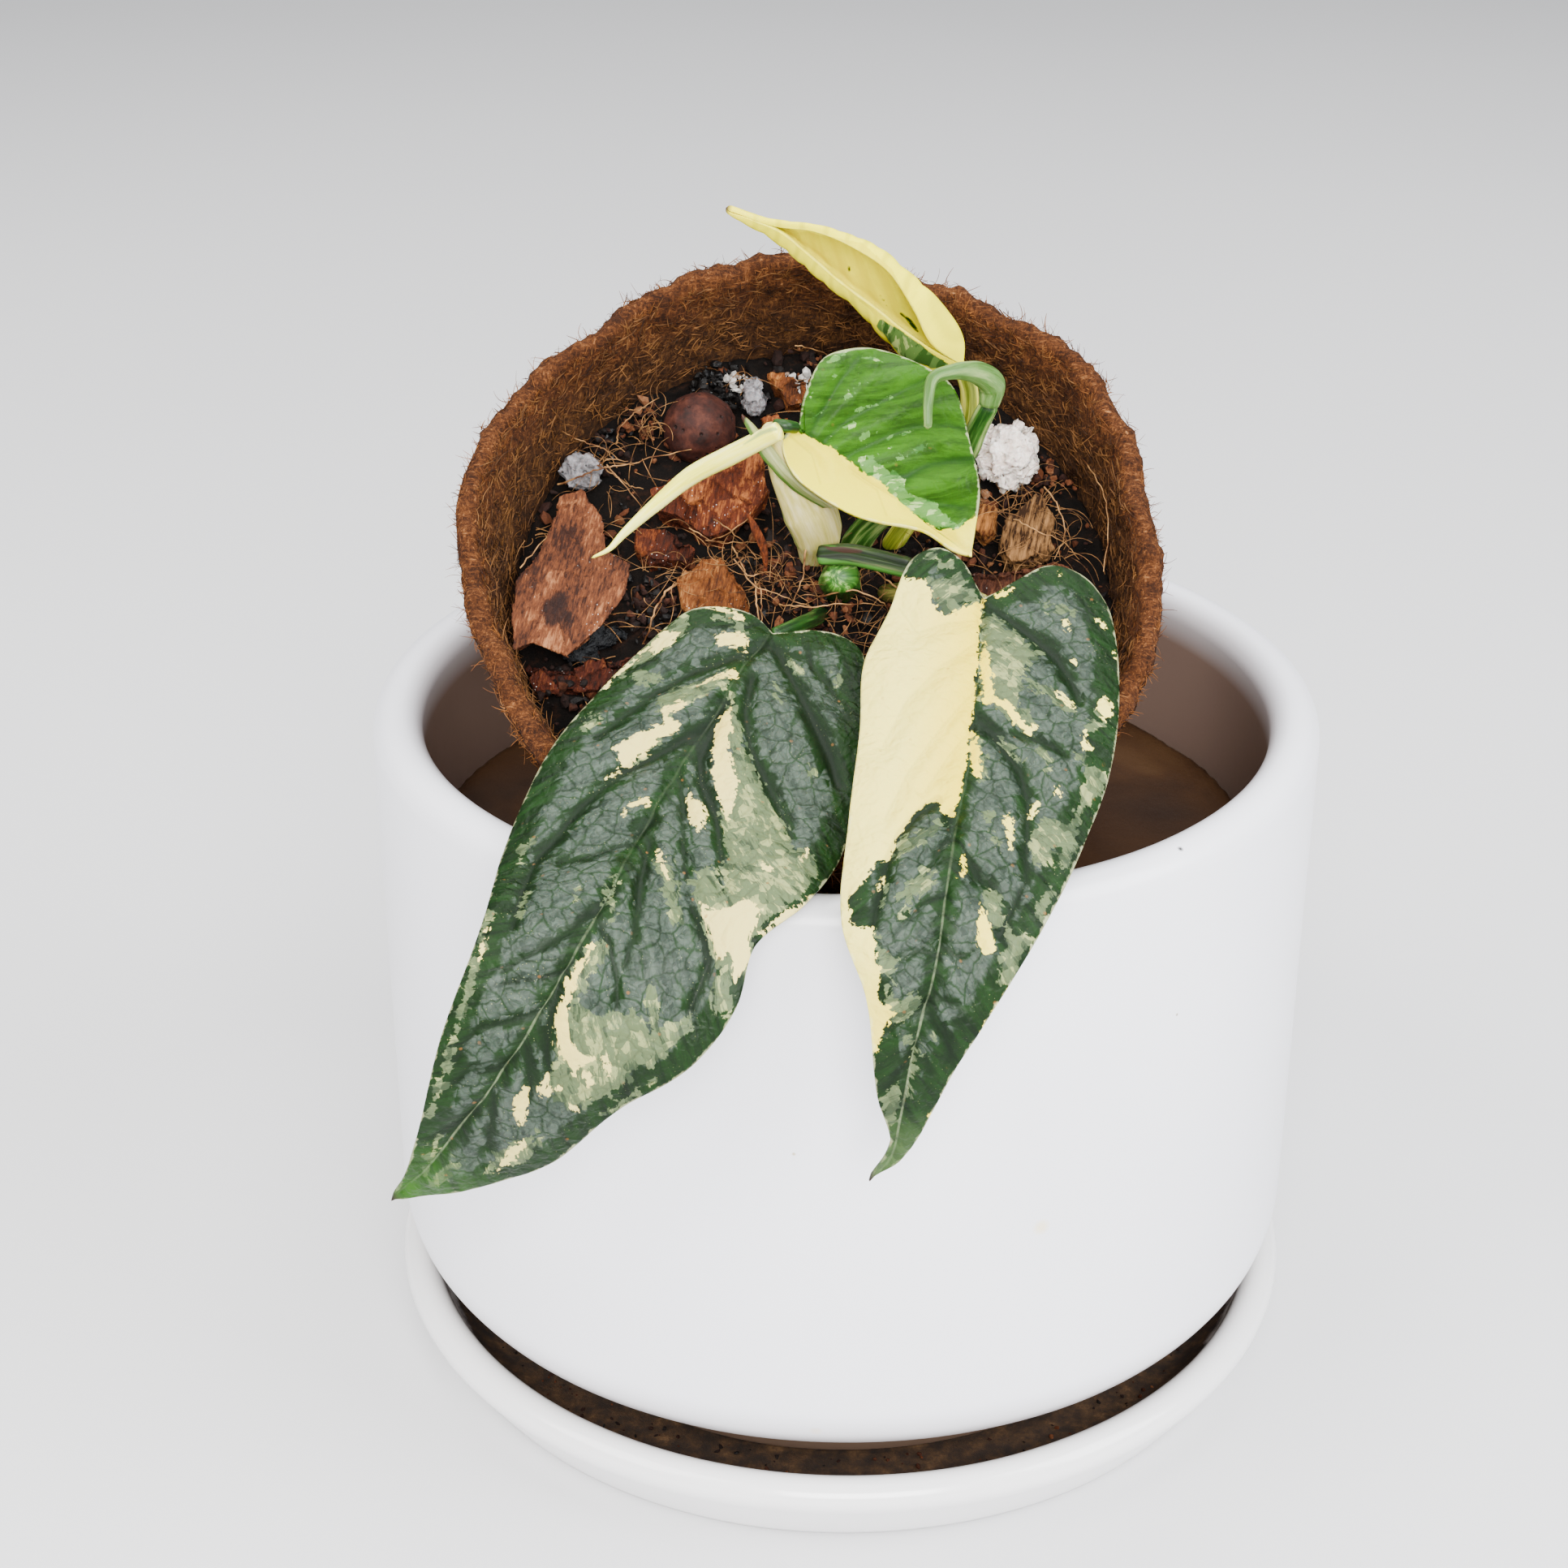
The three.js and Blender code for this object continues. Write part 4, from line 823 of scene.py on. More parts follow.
def off_middle(f, place):
    """How far a place is from the planter's upright axis, and how high."""
    across, back, height = f.add("SeparateXYZ", {0: place}, out=XYZ)
    flat = f.add("CombineXYZ", {0: across, 1: back})
    return f.add("VectorMath", {0: flat}, out="Value", operation="LENGTH"), height


def stoneware_glaze():
    """Satin white glaze over stoneware, dipped and fired: even, cool white, with faint orange peel and a few
    dark specks that came up through it. Grey brown is painted down the inner wall towards the fill and round
    the bottom: painted shade with a painted reflection of the brown peat."""
    f, place = on_object("stoneware_glaze_white")
    drift = f.add("TexNoise", Vector=place, Scale=grain(60), Detail=3.0)
    peel = f.add("TexNoise", Vector=place, Scale=grain(2.2), Detail=2.0)
    cloud = f.add("Mix", {0: drift, 6: settings().planter.glaze, 7: 0xE6E6EC}, **RGBA)
    radius, height = off_middle(f, place)
    # Down the inner wall towards the fill the glaze is painted grey brown, and shines less there: painted
    # shade with a painted reflection of the brown peat
    inner = f.add("MapRange", {0: radius, START: 0.0712, END: 0.0688})
    low = f.add("MapRange", {0: height, START: 0.119, END: 0.107})
    painted_inner_shade = f.add("Math", {0: inner, 1: low}, **TIMES)
    colour = f.add("Mix", {0: painted_inner_shade, 6: cloud, 7: 0x746056}, **RGBA)
    # Round the bottom, over the saucer, the glaze is painted grey brown too: painted shade with a painted
    # reflection of the brown residue
    under = f.add("MapRange", {0: height, START: 0.029, END: 0.017, LAST: 0.8}, **SMOOTH)
    colour = f.add("Mix", {0: under, 6: colour, 7: 0x5E4C3E}, **RGBA)
    for column, row, size, tone in GLAZE_SPECKS:
        spot = glaze_point(column, row) * METRES
        gap = f.add("VectorMath", {0: place, 1: tuple(spot)}, out="Value", operation="DISTANCE")
        inside = f.add("MapRange", {0: gap, START: size * METRES, END: 0.3 * size * METRES})
        colour = f.add("Mix", {0: inside, 6: colour, 7: tone}, **RGBA)
    roughness = f.add("MapRange", {0: drift, FIRST: 0.3, LAST: 0.4})
    shine = f.add("MapRange", {0: painted_inner_shade, FIRST: 0.5, LAST: 0.1})
    coat = f.add("MapRange", {0: painted_inner_shade, FIRST: 0.25, LAST: 0.0})
    return f.close(colour, roughness, peel, 0.012, IOR=1.52, Specular_IOR_Level=shine, Coat_Weight=coat,
                   Coat_Roughness=0.12)


def glaze_point(column, row):
    """Where the sight line of a photo place meets the planter's outer wall or its rim."""
    far = sight(column, row, 0.0)
    ray = (far - EYE) / np.linalg.norm(far - EYE)
    radius = settings().planter.radius / METRES
    a = ray[0] ** 2 + ray[1] ** 2
    b = 2 * (EYE[0] * ray[0] + EYE[1] * ray[1])
    c = EYE[0] ** 2 + EYE[1] ** 2 - radius ** 2
    hit = EYE + ray * (-b - math.sqrt(b * b - 4 * a * c)) / (2 * a)
    wall_end, rim_top = 112, 115
    if hit[2] > wall_end:
        hit = EYE + ray * (rim_top - EYE[2]) / ray[2]
    return hit


def saucer_glaze():
    """The same glaze, glossier, with the brown residue of drained water dried on the well's floor."""
    f, place = on_object("stoneware_glaze_saucer")
    radius, height = off_middle(f, place)
    ragged = f.add("TexNoise", Vector=place, Scale=grain(7), Detail=6.0, Roughness=0.7)
    wander = f.add("MapRange", {0: ragged, FIRST: -0.002, LAST: 0.002})
    edge = f.add("Math", {0: radius, 1: wander}, **PLUS)
    inner = f.add("MapRange", {0: edge, START: 0.0708, END: 0.069})
    above = f.add("MapRange", {0: height, START: 0.0036, END: 0.0039})
    stain = f.add("Math", {0: inner, 1: above}, **TIMES)
    mottle = f.add("TexNoise", Vector=place, Scale=grain(3.5), Detail=8.0, Roughness=0.75)
    residue = f.add("ValToRGB", {0: mottle}, stops=[
        (0.3, 0x120B06), (0.45, 0x2A1B0F), (0.58, settings().planter.sediment), (0.76, 0x80603F)])
    drift = f.add("TexNoise", Vector=place, Scale=grain(50), Detail=3.0)
    white = f.add("Mix", {0: drift, 6: 0xEFEEEE, 7: 0xE6E5E6}, **RGBA)
    colour = f.add("Mix", {0: stain, 6: white, 7: residue}, **RGBA)
    roughness = f.add("MapRange", {0: stain, FIRST: 0.2, LAST: 0.75})
    relief = f.add("Math", {0: mottle, 1: stain}, **TIMES)
    return f.close(colour, roughness, relief, 0.5, IOR=1.52, Specular_IOR_Level=0.5, Coat_Weight=0.3,
                   Coat_Roughness=0.08)


def peat_fill():
    """Wet peat and coir dust settled smooth: soft brown clouds, a slight sheen and no crumbs to see."""
    f, place = on_object("settled_peat")
    cloud = f.add("TexNoise", Vector=place, Scale=grain(26), Detail=3.0, Distortion=0.6)
    colour = f.add("ValToRGB", {0: cloud}, stops=[(0.3, 0x24150B), (0.5, 0x36210F), (0.7, 0x46301A)])
    fine = f.add("TexNoise", Vector=place, Scale=grain(1.6), Detail=5.0)
    return f.close(colour, 0.62, fine, 0.12, IOR=1.4)


def pressed_coir():
    """Coconut fibre pressed with latex: short orange brown fibres in every direction, felted and torn, olive
    brown inside the pot where it stays damp, and darker still down by the mix: damp fibre there, and painted
    shade."""
    f, place = on_object("pressed_coir")
    bent = f.add("TexNoise", Vector=place, Scale=grain(3.4), Detail=2.0, out="Color")
    pushed = f.add("VectorMath", {0: bent, 1: (0.0012, 0.0012, 0.0012), 2: place}, **TIMES_PLUS)
    long_fibre = f.add("Mapping", Vector=pushed, Scale=(1.0, 1.0, 0.2))
    flat_fibre = f.add("Mapping", Vector=pushed, Scale=(0.16, 0.8, 1.0), Rotation=(0.3, 0.9, 0.4))
    fibre_a = f.add("TexNoise", Vector=long_fibre, Scale=grain(0.5), Detail=6.0, Roughness=0.78)
    fibre_b = f.add("TexNoise", Vector=flat_fibre, Scale=grain(0.45), Detail=6.0, Roughness=0.78)
    felt = f.add("Math", {0: fibre_a, 1: fibre_b}, operation="MAXIMUM")
    clump = f.add("TexNoise", Vector=place, Scale=grain(4.0), Detail=6.0, Roughness=0.7)
    fade = f.add("Math", {0: clump, 1: 0.3, 2: felt}, **TIMES_PLUS)
    dry = f.add("ValToRGB", {0: fade}, stops=[
        (0.58, 0x241208), (0.68, 0x462611), (0.77, settings().pot.fibre), (0.88, 0xAE7E50)])
    damp = f.add("ValToRGB", {0: fade}, stops=[
        (0.58, 0x180D06), (0.69, 0x3C2310), (0.78, 0x624020), (0.9, 0x8E663C)])
    depth = f.add("Attribute", attribute_name="depth", out="Fac")
    inside = f.add("MapRange", {0: depth, START: 0.15, END: 0.6})
    colour = f.add("Mix", {0: inside, 6: dry, 7: damp}, **RGBA)
    # Deep inside, down by the mix, the coir is painted darker: damp fibre and painted shade
    damp_and_shade = f.add("MapRange", {0: depth, START: 0.75, END: 1.2, LAST: 0.6})
    dark = f.add("Mix", {0: damp_and_shade, 6: colour, 7: 0x1C120B}, **RGBA)
    pits = f.add("TexVoronoi", Vector=pushed, Scale=grain(2.6), out="Distance")
    height = f.add("Math", {0: pits, 1: 0.4, 2: felt}, **TIMES_PLUS)
    return f.close(dark, 0.92, height, 0.55, IOR=1.4)


def coir_hair(name, low, high):
    """A single coconut fibre or dry root: smooth, waxy, tan to red brown, each one a little different."""
    f, place = on_object(name)
    each = f.add("TexNoise", Vector=place, Scale=grain(2.5), Detail=2.0)
    colour = f.add("ValToRGB", {0: each}, stops=[(0.35, low), (0.65, high)])
    fine = f.add("TexNoise", Vector=place, Scale=grain(0.4))
    return f.close(colour, 0.6, fine, 0.03, IOR=1.45)


def damp_peat():
    """Damp peat under the bark: almost black, crumbly, with brown threads."""
    f, place = on_object("damp_peat")
    cloud = f.add("TexNoise", Vector=place, Scale=grain(3), Detail=8.0, Roughness=0.7)
    colour = f.add("ValToRGB", {0: cloud}, stops=[
        (0.4, 0x060403), (0.55, 0x0E0805), (0.68, 0x24130A), (0.8, 0x482410)])
    return f.close(colour, 0.85, cloud, 1.2, IOR=1.4)


def loose_crumbs():
    """Grit of the mix: charcoal, peat, bark and pumice crumbs, each of one tint."""
    f, place = on_object("mix_crumbs")
    tint = f.add("Attribute", attribute_name="tint", out="Fac")
    fleck = f.add("TexNoise", Vector=place, Scale=grain(0.6), Detail=5.0)
    shade = f.add("Math", {0: fleck, 1: 0.24, 2: tint}, **TIMES_PLUS)
    colour = f.add("ValToRGB", {0: shade}, stops=[
        (0.1, 0x050607), (0.26, 0x0E0A08), (0.46, 0x24100A), (0.64, 0x542C16), (0.8, 0x80583A),
        (0.88, 0x7A7670), (1.0, 0xB4B0AA)])
    roughness = f.add("MapRange", {0: tint, END: 0.2, FIRST: 0.3, LAST: 0.85})
    return f.close(colour, roughness, fleck, 0.2)


def bark_finish(name, dark, mid, light, stain=False):
    """Conifer bark broken by hand: red brown cork in flakes, each of its own tone, pale where it has split,
    with pale specks on the old outer face: dust, and painted glints where resin glitters."""
    f, place = on_object(name)
    drawn = f.add("Mapping", Vector=place, Scale=(1.0, 3.2, 1.0), Rotation=(0.66, 0.0, -0.25), **STRETCH)
    layers = f.add("TexNoise", Vector=drawn, Scale=grain(3.2), Detail=8.0, Roughness=0.74)
    fine = f.add("TexNoise", Vector=drawn, Scale=grain(0.7), Detail=6.0, Roughness=0.7)
    flake = f.add("Attribute", attribute_name="tint", out="Fac")
    threads = f.add("Mapping", Vector=place, Scale=(1.0, 7.0, 1.3), Rotation=(0.66, 0.0, -0.25), **STRETCH)
    thread = f.add("TexNoise", Vector=threads, Scale=grain(0.32), Detail=3.0, Roughness=0.6)
    both = f.add("Math", {0: fine, 1: 0.4, 2: layers}, **TIMES_PLUS)
    both = f.add("Math", {0: thread, 1: 0.6, 2: both}, **TIMES_PLUS)
    both = f.add("Math", {0: flake, 1: 0.12, 2: both}, **TIMES_PLUS)
    both = f.add("Math", {0: both, 1: 0.28}, operation="SUBTRACT")
    colour = f.add("ValToRGB", {0: both}, stops=[(0.56, dark), (0.78, mid), (0.98, light)])
    if stain:
        spot = over_mix(*SLAB_STAIN) * METRES
        gap = f.add("VectorMath", {0: place, 1: tuple(spot)}, out="Value", operation="DISTANCE")
        torn_edge = f.add("MapRange", {0: layers, START: 0.3, END: 0.7, FIRST: -0.0025, LAST: 0.0025})
        reach = f.add("Math", {0: gap, 1: torn_edge}, **PLUS)
        mark = f.add("MapRange", {0: reach, START: 0.0036, END: 0.0022, LAST: 0.85})
        colour = f.add("Mix", {0: mark, 6: colour, 7: 0x1C0E0B}, **RGBA)
    # Pale specks on the old outer face: dust, and painted glints that stand for glittering resin
    dust = f.add("TexVoronoi", Vector=place, Scale=grain(0.75), out="Distance")
    glint = f.add("MapRange", {0: dust, START: 0.16, END: 0.08, LAST: 0.75})
    some = f.add("TexNoise", Vector=place, Scale=grain(5))
    where = f.add("MapRange", {0: some, START: 0.5, END: 0.62})
    sparkle = f.add("Math", {0: glint, 1: where}, **TIMES)
    speckled = f.add("Mix", {0: sparkle, 6: colour, 7: 0xDCD3CB}, **RGBA)
    roughness = f.add("MapRange", {0: fine, START: 0.35, END: 0.65, FIRST: 0.5, LAST: 0.85})
    return f.close(speckled, roughness, both, 0.8, IOR=1.45)


def husk_finish(name, dark, light):
    """Coconut husk chip: pale tan pith with long fibres standing out of it."""
    f, place = on_object(name)
    drawn = f.add("Mapping", Vector=place, Scale=(1.0, 14.0, 1.6), Rotation=(0.66, 0.0, -0.3), **STRETCH)
    fibres = f.add("TexNoise", Vector=drawn, Scale=grain(0.5), Detail=4.0, Roughness=0.6)
    cloud = f.add("TexNoise", Vector=place, Scale=grain(3.0), Detail=4.0)
    both = f.add("Math", {0: cloud, 1: 0.5, 2: fibres}, **TIMES_PLUS)
    colour = f.add("ValToRGB", {0: both}, stops=[(0.62, dark), (0.9, light)])
    return f.close(colour, 0.9, fibres, 0.4, IOR=1.4)


def fired_clay():
    """Expanded clay pebble, fired in a kiln: dull red brown skin with small round pores."""
    f, place = on_object("fired_clay")
    drift = f.add("TexNoise", Vector=place, Scale=grain(2.4), Detail=8.0, Roughness=0.7)
    colour = f.add("ValToRGB", {0: drift}, stops=[(0.35, 0x180906), (0.52, 0x30140D), (0.7, 0x4A261A)])
    pores = f.add("TexVoronoi", Vector=place, Scale=grain(1.7), out="Distance")
    hole = f.add("MapRange", {0: pores, START: 0.1, END: 0.22})
    dark = f.add("Mix", {0: hole, 6: 0x170C0A, 7: colour}, **RGBA)
    height = f.add("Math", {0: drift, 1: 0.3, 2: hole}, **TIMES_PLUS)
    return f.close(dark, 0.7, height, 0.3)


def pumice(name, dark, light, speck):
    """Pumice grit: pale glass foam, grainy, with sparkling edges and dark mineral specks."""
    f, place = on_object(name)
    grains = f.add("TexVoronoi", Vector=place, Scale=grain(0.9), out="Distance")
    cloud = f.add("TexNoise", Vector=place, Scale=grain(2.2), Detail=7.0, Roughness=0.7)
    colour = f.add("ValToRGB", {0: cloud}, stops=[(0.36, dark), (0.6, light)])
    minerals = f.add("TexVoronoi", Vector=place, Scale=grain(1.5), out="Distance")
    spot = f.add("MapRange", {0: minerals, START: 0.2, END: 0.12, LAST: speck})
    marked_colour = f.add("Mix", {0: spot, 6: colour, 7: 0x1C1A18}, **RGBA)
    height = f.add("Math", {0: cloud, 1: grains}, **PLUS)
    return f.close(marked_colour, 0.55, height, 0.45, IOR=1.5, Subsurface_Weight=0.1, Subsurface_Scale=0.001)


def charcoal_finish():
    """Broken horticultural charcoal: black, glassy on the break, with a grain of tiny cells."""
    f, place = on_object("charcoal")
    cells = f.add("TexNoise", Vector=place, Scale=grain(1.1), Detail=7.0, Roughness=0.7)
    colour = f.add("ValToRGB", {0: cells}, stops=[(0.4, 0x050607), (0.7, 0x1B1D20)])
    roughness = f.add("MapRange", {0: cells, START: 0.4, END: 0.65, FIRST: 0.2, LAST: 0.6})
    return f.close(colour, roughness, cells, 0.6, IOR=1.6)


def leaf_finish(name, greens, silvers, sages, creams, silver=1.0, ragged=1.0, gloss=0.46,
                rib_tone=0x7C8868, less_sage=0.0, groove_tone=0x0A150C, relief=0.13, shine=0.22,
                fleck=0x24521F, net=1.0, specks=1.0, young_tone=0x2E5416, tip_tone=0x2C2320, margin=0.4):
    """Living leaf skin, waxy and satin: green tissue with silver cells between dark sunken veins, sage
    where one layer of it has no green and cream where none has. It sits on three fields of the blade:
    flow, measured along the veins, veins, how far it is to them, and patches, the variegation."""
    f = Finish(name)
    course, side, travel = f.field("flow")
    groove, rib, edge = f.field("veins")
    cream_depth, sage_depth, fleck_depth = f.field("patches")
    skin = f.add("CombineXYZ", {0: travel, 1: side})
    drawn = f.add("CombineXYZ", {0: course, 1: f.add("Math", {0: side, 1: 0.35}, **TIMES)})
    torn = f.add("TexNoise", Vector=drawn, Scale=0.3, Detail=7.0, Roughness=0.68)
    frayed = f.add("TexNoise", Vector=drawn, Scale=0.42, Detail=7.0, Roughness=0.7, Distortion=0.6)
    wander = f.add("TexNoise", Vector=skin, Scale=0.45, Detail=3.0, out="Color")
    bent = f.add("VectorMath", {0: wander, 1: (1.8, 1.8, 0.0), 2: skin}, **TIMES_PLUS)
    large = f.add("TexVoronoi", Vector=bent, Scale=1 / 3.0, **FLAT_EDGE)
    small = f.add("TexVoronoi", Vector=bent, Scale=1 / 1.35, **FLAT_EDGE)
    cell = f.add("TexVoronoi", Vector=bent, Scale=1 / 1.35, out="Color", **FLAT)
    cells = f.add("SeparateXYZ", {0: cell}, out=XYZ)
    speck = f.add("TexVoronoi", Vector=bent, Scale=1 / 0.55, out="Color", **FLAT)
    grains = f.add("SeparateXYZ", {0: speck}, out=XYZ)
    large_line = f.add("MapRange", {0: large, END: 0.1, FIRST: 1 - 0.8 * net}, **SMOOTH)
    small_line = f.add("MapRange", {0: small, END: 0.13, FIRST: 1 - 0.34 * net}, **SMOOTH)
    lines = f.add("Math", {0: large_line, 1: small_line}, **TIMES)
    # Silver lies between the veins and stays clear of the margin
    clear = f.add("Math", {0: rib, 1: -0.9}, **PLUS)
    off_edge = f.add("Math", {0: edge, 1: -3.4}, **PLUS)
    clear = f.add("Math", {0: clear, 1: groove}, operation="MINIMUM")
    clear = f.add("Math", {0: clear, 1: off_edge}, operation="MINIMUM")
    uneven = f.add("Math", {0: torn, 1: 5.0, 2: -2.5}, **TIMES_PLUS)
    clear = f.add("Math", {0: clear, 1: uneven}, **PLUS)
    clear = f.add("Math", {0: cells[0], 1: 1.2, 2: clear}, **TIMES_PLUS)
    reach = f.add("MapRange", {0: clear, START: 0.7, END: 1.7}, **SMOOTH)
    groove_edge = f.add("Math", {0: uneven, 1: 0.3, 2: groove}, **TIMES_PLUS)
    deep = f.add("MapRange", {0: groove_edge, START: -1.2, END: 1.1}, **SMOOTH)
    green = f.add("ValToRGB", {0: frayed}, stops=[(0.38, greens[0]), (0.62, greens[1])])
    leaf = f.add("Mix", {0: deep, 6: groove_tone, 7: green}, **RGBA)
    mottle = f.add("Math", {0: grains[0], 1: 0.25, 2: frayed}, **TIMES_PLUS)
    pale = f.add("ValToRGB", {0: mottle}, stops=[(0.45, silvers[0]), (0.8, silvers[1])])
    amount = f.add("Math", {0: reach, 1: lines}, **TIMES)
    amount = f.add("Math", {0: amount, 1: silver}, **TIMES)
    # Sage patches in two tones, and cream ones; both break off along the small cells
    by_cell = f.add("Math", {0: cells[1], 1: 1.3 * ragged, 2: sage_depth}, **TIMES_PLUS)
    by_grain = f.add("Math", {0: grains[1], 1: 0.5 * ragged, 2: by_cell}, **TIMES_PLUS)
    sage_field = f.add("Math", {0: torn, 1: 4.6 * ragged, 2: by_grain}, **TIMES_PLUS)
    sage_mask = f.add("MapRange", {0: sage_field, START: 3.2 * ragged - 0.08 + less_sage,
                                   END: 3.2 * ragged + 0.08 + less_sage})
    tone = f.add("Math", {0: cells[2], 1: 0.22, 2: frayed}, **TIMES_PLUS)
    tone = f.add("Math", {0: sage_depth, 1: 0.018, 2: tone}, **TIMES_PLUS)
    sage_tone = f.add("ValToRGB", {0: tone}, stops=[
        (0.5, sages[0]), (0.56, sages[1]), (0.7, sages[1]), (0.74, sages[2])])
    faint = f.add("MapRange", {0: lines, FIRST: 0.72, LAST: 1.0})
    sage = f.add("Mix", {0: 1.0, 6: sage_tone, 7: faint}, **RGBA, blend_type="MULTIPLY")
    by_grain = f.add("Math", {0: grains[2], 1: 0.7 * ragged, 2: cream_depth}, **TIMES_PLUS)
    cream_field = f.add("Math", {0: frayed, 1: 2.6 * ragged, 2: by_grain}, **TIMES_PLUS)
    cream_mask = f.add("MapRange", {0: cream_field, START: 1.65 * ragged - 0.05,
                                    END: 1.65 * ragged + 0.07})
    near_rib = f.add("MapRange", {0: rib, START: 10.0, END: 0.3})
    cream_tone = f.add("Mix", {0: near_rib, 6: creams[0], 7: creams[1]}, **RGBA)
    vein_line = f.add("MapRange", {0: groove, START: -0.05, END: 0.3, FIRST: 0.8})
    cream = f.add("Mix", {0: 1.0, 6: cream_tone, 7: vein_line}, **RGBA, blend_type="MULTIPLY")
    fleck_mask = f.add("MapRange", {0: fleck_depth, START: -0.05, END: 0.12})
    # The midrib is a thin pale line that fades out towards the stalk; the very margin is pale too
    share = f.add("Attribute", attribute_name="share", out="Fac")
    thin = f.add("MapRange", {0: rib, START: 0.3, END: 0.12})
    seen = f.add("MapRange", {0: share, START: 0.5, END: 0.8, FIRST: 0.06, LAST: 0.6})
    gone = f.add("MapRange", {0: frayed, START: 0.4, END: 0.58, FIRST: 0.3})
    line = f.add("Math", {0: thin, 1: seen}, **TIMES)
    line = f.add("Math", {0: line, 1: gone}, **TIMES)
    worn = f.add("Math", {0: torn, 1: -2.4, 2: edge}, **TIMES_PLUS)
    rim = f.add("MapRange", {0: worn, START: -1.0, END: -1.25, LAST: margin})
    dots = f.add("TexVoronoi", Vector=skin, Scale=1 / 0.9, out="Distance", **FLAT)
    many = f.add("MapRange", {0: torn, START: 0.48, END: 0.66, LAST: 0.2 * specks})
    dot = f.add("Math", {0: dots, 1: many}, operation="LESS_THAN")
    shown = f.add("MapRange", {0: cream_mask, FIRST: 0.55, LAST: 0.0})
    dot = f.add("Math", {0: dot, 1: shown}, **TIMES)
    young = f.add("MapRange", {0: share, START: 0.88, END: 0.97})
    patchy = f.add("MapRange", {0: frayed, START: 0.35, END: 0.6, FIRST: 0.35})
    young = f.add("Math", {0: young, 1: patchy}, **TIMES)
    rust = f.add("TexVoronoi", Vector=skin, Scale=1 / 5.0, out="Distance", **FLAT)
    few = f.add("MapRange", {0: torn, START: 0.5, END: 0.6, LAST: specks})
    rusty = f.add("MapRange", {0: rust, START: 0.06, END: 0.035})
    rusty = f.add("Math", {0: rusty, 1: few}, **TIMES)
    tip = f.add("MapRange", {0: share, START: 0.985, END: 0.998})
    # The layers that lie on the green, from the lowest to the top one
    for mask, tone in ((amount, pale), (sage_mask, sage), (cream_mask, cream), (fleck_mask, fleck),
                       (line, rib_tone), (rim, 0xD8DCA8), (dot, sages[2]), (young, young_tone),
                       (rusty, 0x8A5A2A), (tip, tip_tone)):
        leaf = f.add("Mix", {0: mask, 6: leaf, 7: tone}, **RGBA)
    dome = f.add("MapRange", {0: large, END: 0.4}, **SMOOTH)
    dimple = f.add("MapRange", {0: small, END: 0.4, LAST: 0.4}, **SMOOTH)
    quilt = f.add("Math", {0: dome, 1: dimple}, **PLUS)
    quilt = f.add("Math", {0: quilt, 1: deep}, **TIMES)
    fine = f.add("TexNoise", Vector=skin, Scale=2.2, Detail=3.0)
    height = f.add("Math", {0: fine, 1: 0.3, 2: quilt}, **TIMES_PLUS)
    roughness = f.add("MapRange", {0: frayed, FIRST: gloss - 0.06, LAST: gloss + 0.08})
    return f.close(leaf, roughness, height, relief, IOR=1.45, Subsurface_Weight=0.06,
                   Subsurface_Scale=0.0008, Specular_IOR_Level=shine)


def stalk_finish(name, ground, stripe, shine, cover=0.5, run=0.06, gloss=0.38, mark_tone=0x3C6A24):
    """Stalk skin: smooth and juicy, with long stripes that follow it."""
    f = Finish(name)
    travel, across, up = f.field("flow")
    slow = f.add("Math", {0: travel, 1: run}, **TIMES)
    drawn = f.add("CombineXYZ", {0: slow, 1: across, 2: up})
    streaks = f.add("TexNoise", Vector=drawn, Scale=1.1, Detail=5.0, Roughness=0.6)
    colour = f.add("ValToRGB", {0: streaks}, stops=[
        (cover - 0.12, ground), (cover, stripe), (cover + 0.16, shine)])
    for depth, end, tone in zip(f.field("patches"), (0.65, 0.6), (mark_tone, 0x2E180A)):
        blur = f.add("Math", {0: streaks, 1: 0.8, 2: depth}, **TIMES_PLUS)
        mark = f.add("MapRange", {0: blur, START: 0.4, END: end})
        colour = f.add("Mix", {0: mark, 6: colour, 7: tone}, **RGBA)
    return f.close(colour, gloss, streaks, 0.12, IOR=1.42, Specular_IOR_Level=0.35, Subsurface_Weight=0.1,
                   Subsurface_Scale=0.001)


def matt_floor():
    """Plain matt board, sprayed pale grey."""
    f, place = on_object("matt_board")
    drift = f.add("TexNoise", Vector=place, Scale=grain(400), Detail=2.0)
    colour = f.add("Mix", {0: drift, 6: settings().stage.floor, 7: 0xD4D4D6}, **RGBA)
    return f.close(colour, 0.45)


# Pieces

def make_planter():
    size = settings().planter
    radius, wall = size.radius / METRES, size.wall / METRES
    top, foot, body, floor = 115.2, 4.3, 16.7, 25.0
    lip, inner = wall / 2, radius - wall
    profile = [(7, floor), (7, body), (48, body), (48, foot + 0.6), (48.6, foot), (55.2, foot),
               (56, foot + 0.8), (56, body), *arc(radius - 12, body + 12, 12, -90, 0, 18)]
    profile = stretched(profile[:-1], 4) + [profile[-1]]
    profile += stretched([profile[-1], (radius, top - lip)], 6)[1:-1]
    profile += arc(radius - lip, top - lip, lip, 0, 180, 18)
    profile += stretched([profile[-1], (inner, floor + 6)], 6)[1:-1]
    profile += arc(inner - 6, floor + 6, 6, 0, -90, 8) + [(7, floor)]
    shape = spun(profile, 256)
    displaced(shape, lambda points: 0.12 * lumps(points, 45, 2))
    make_piece("planter_body", shape, "planter", stoneware_glaze())


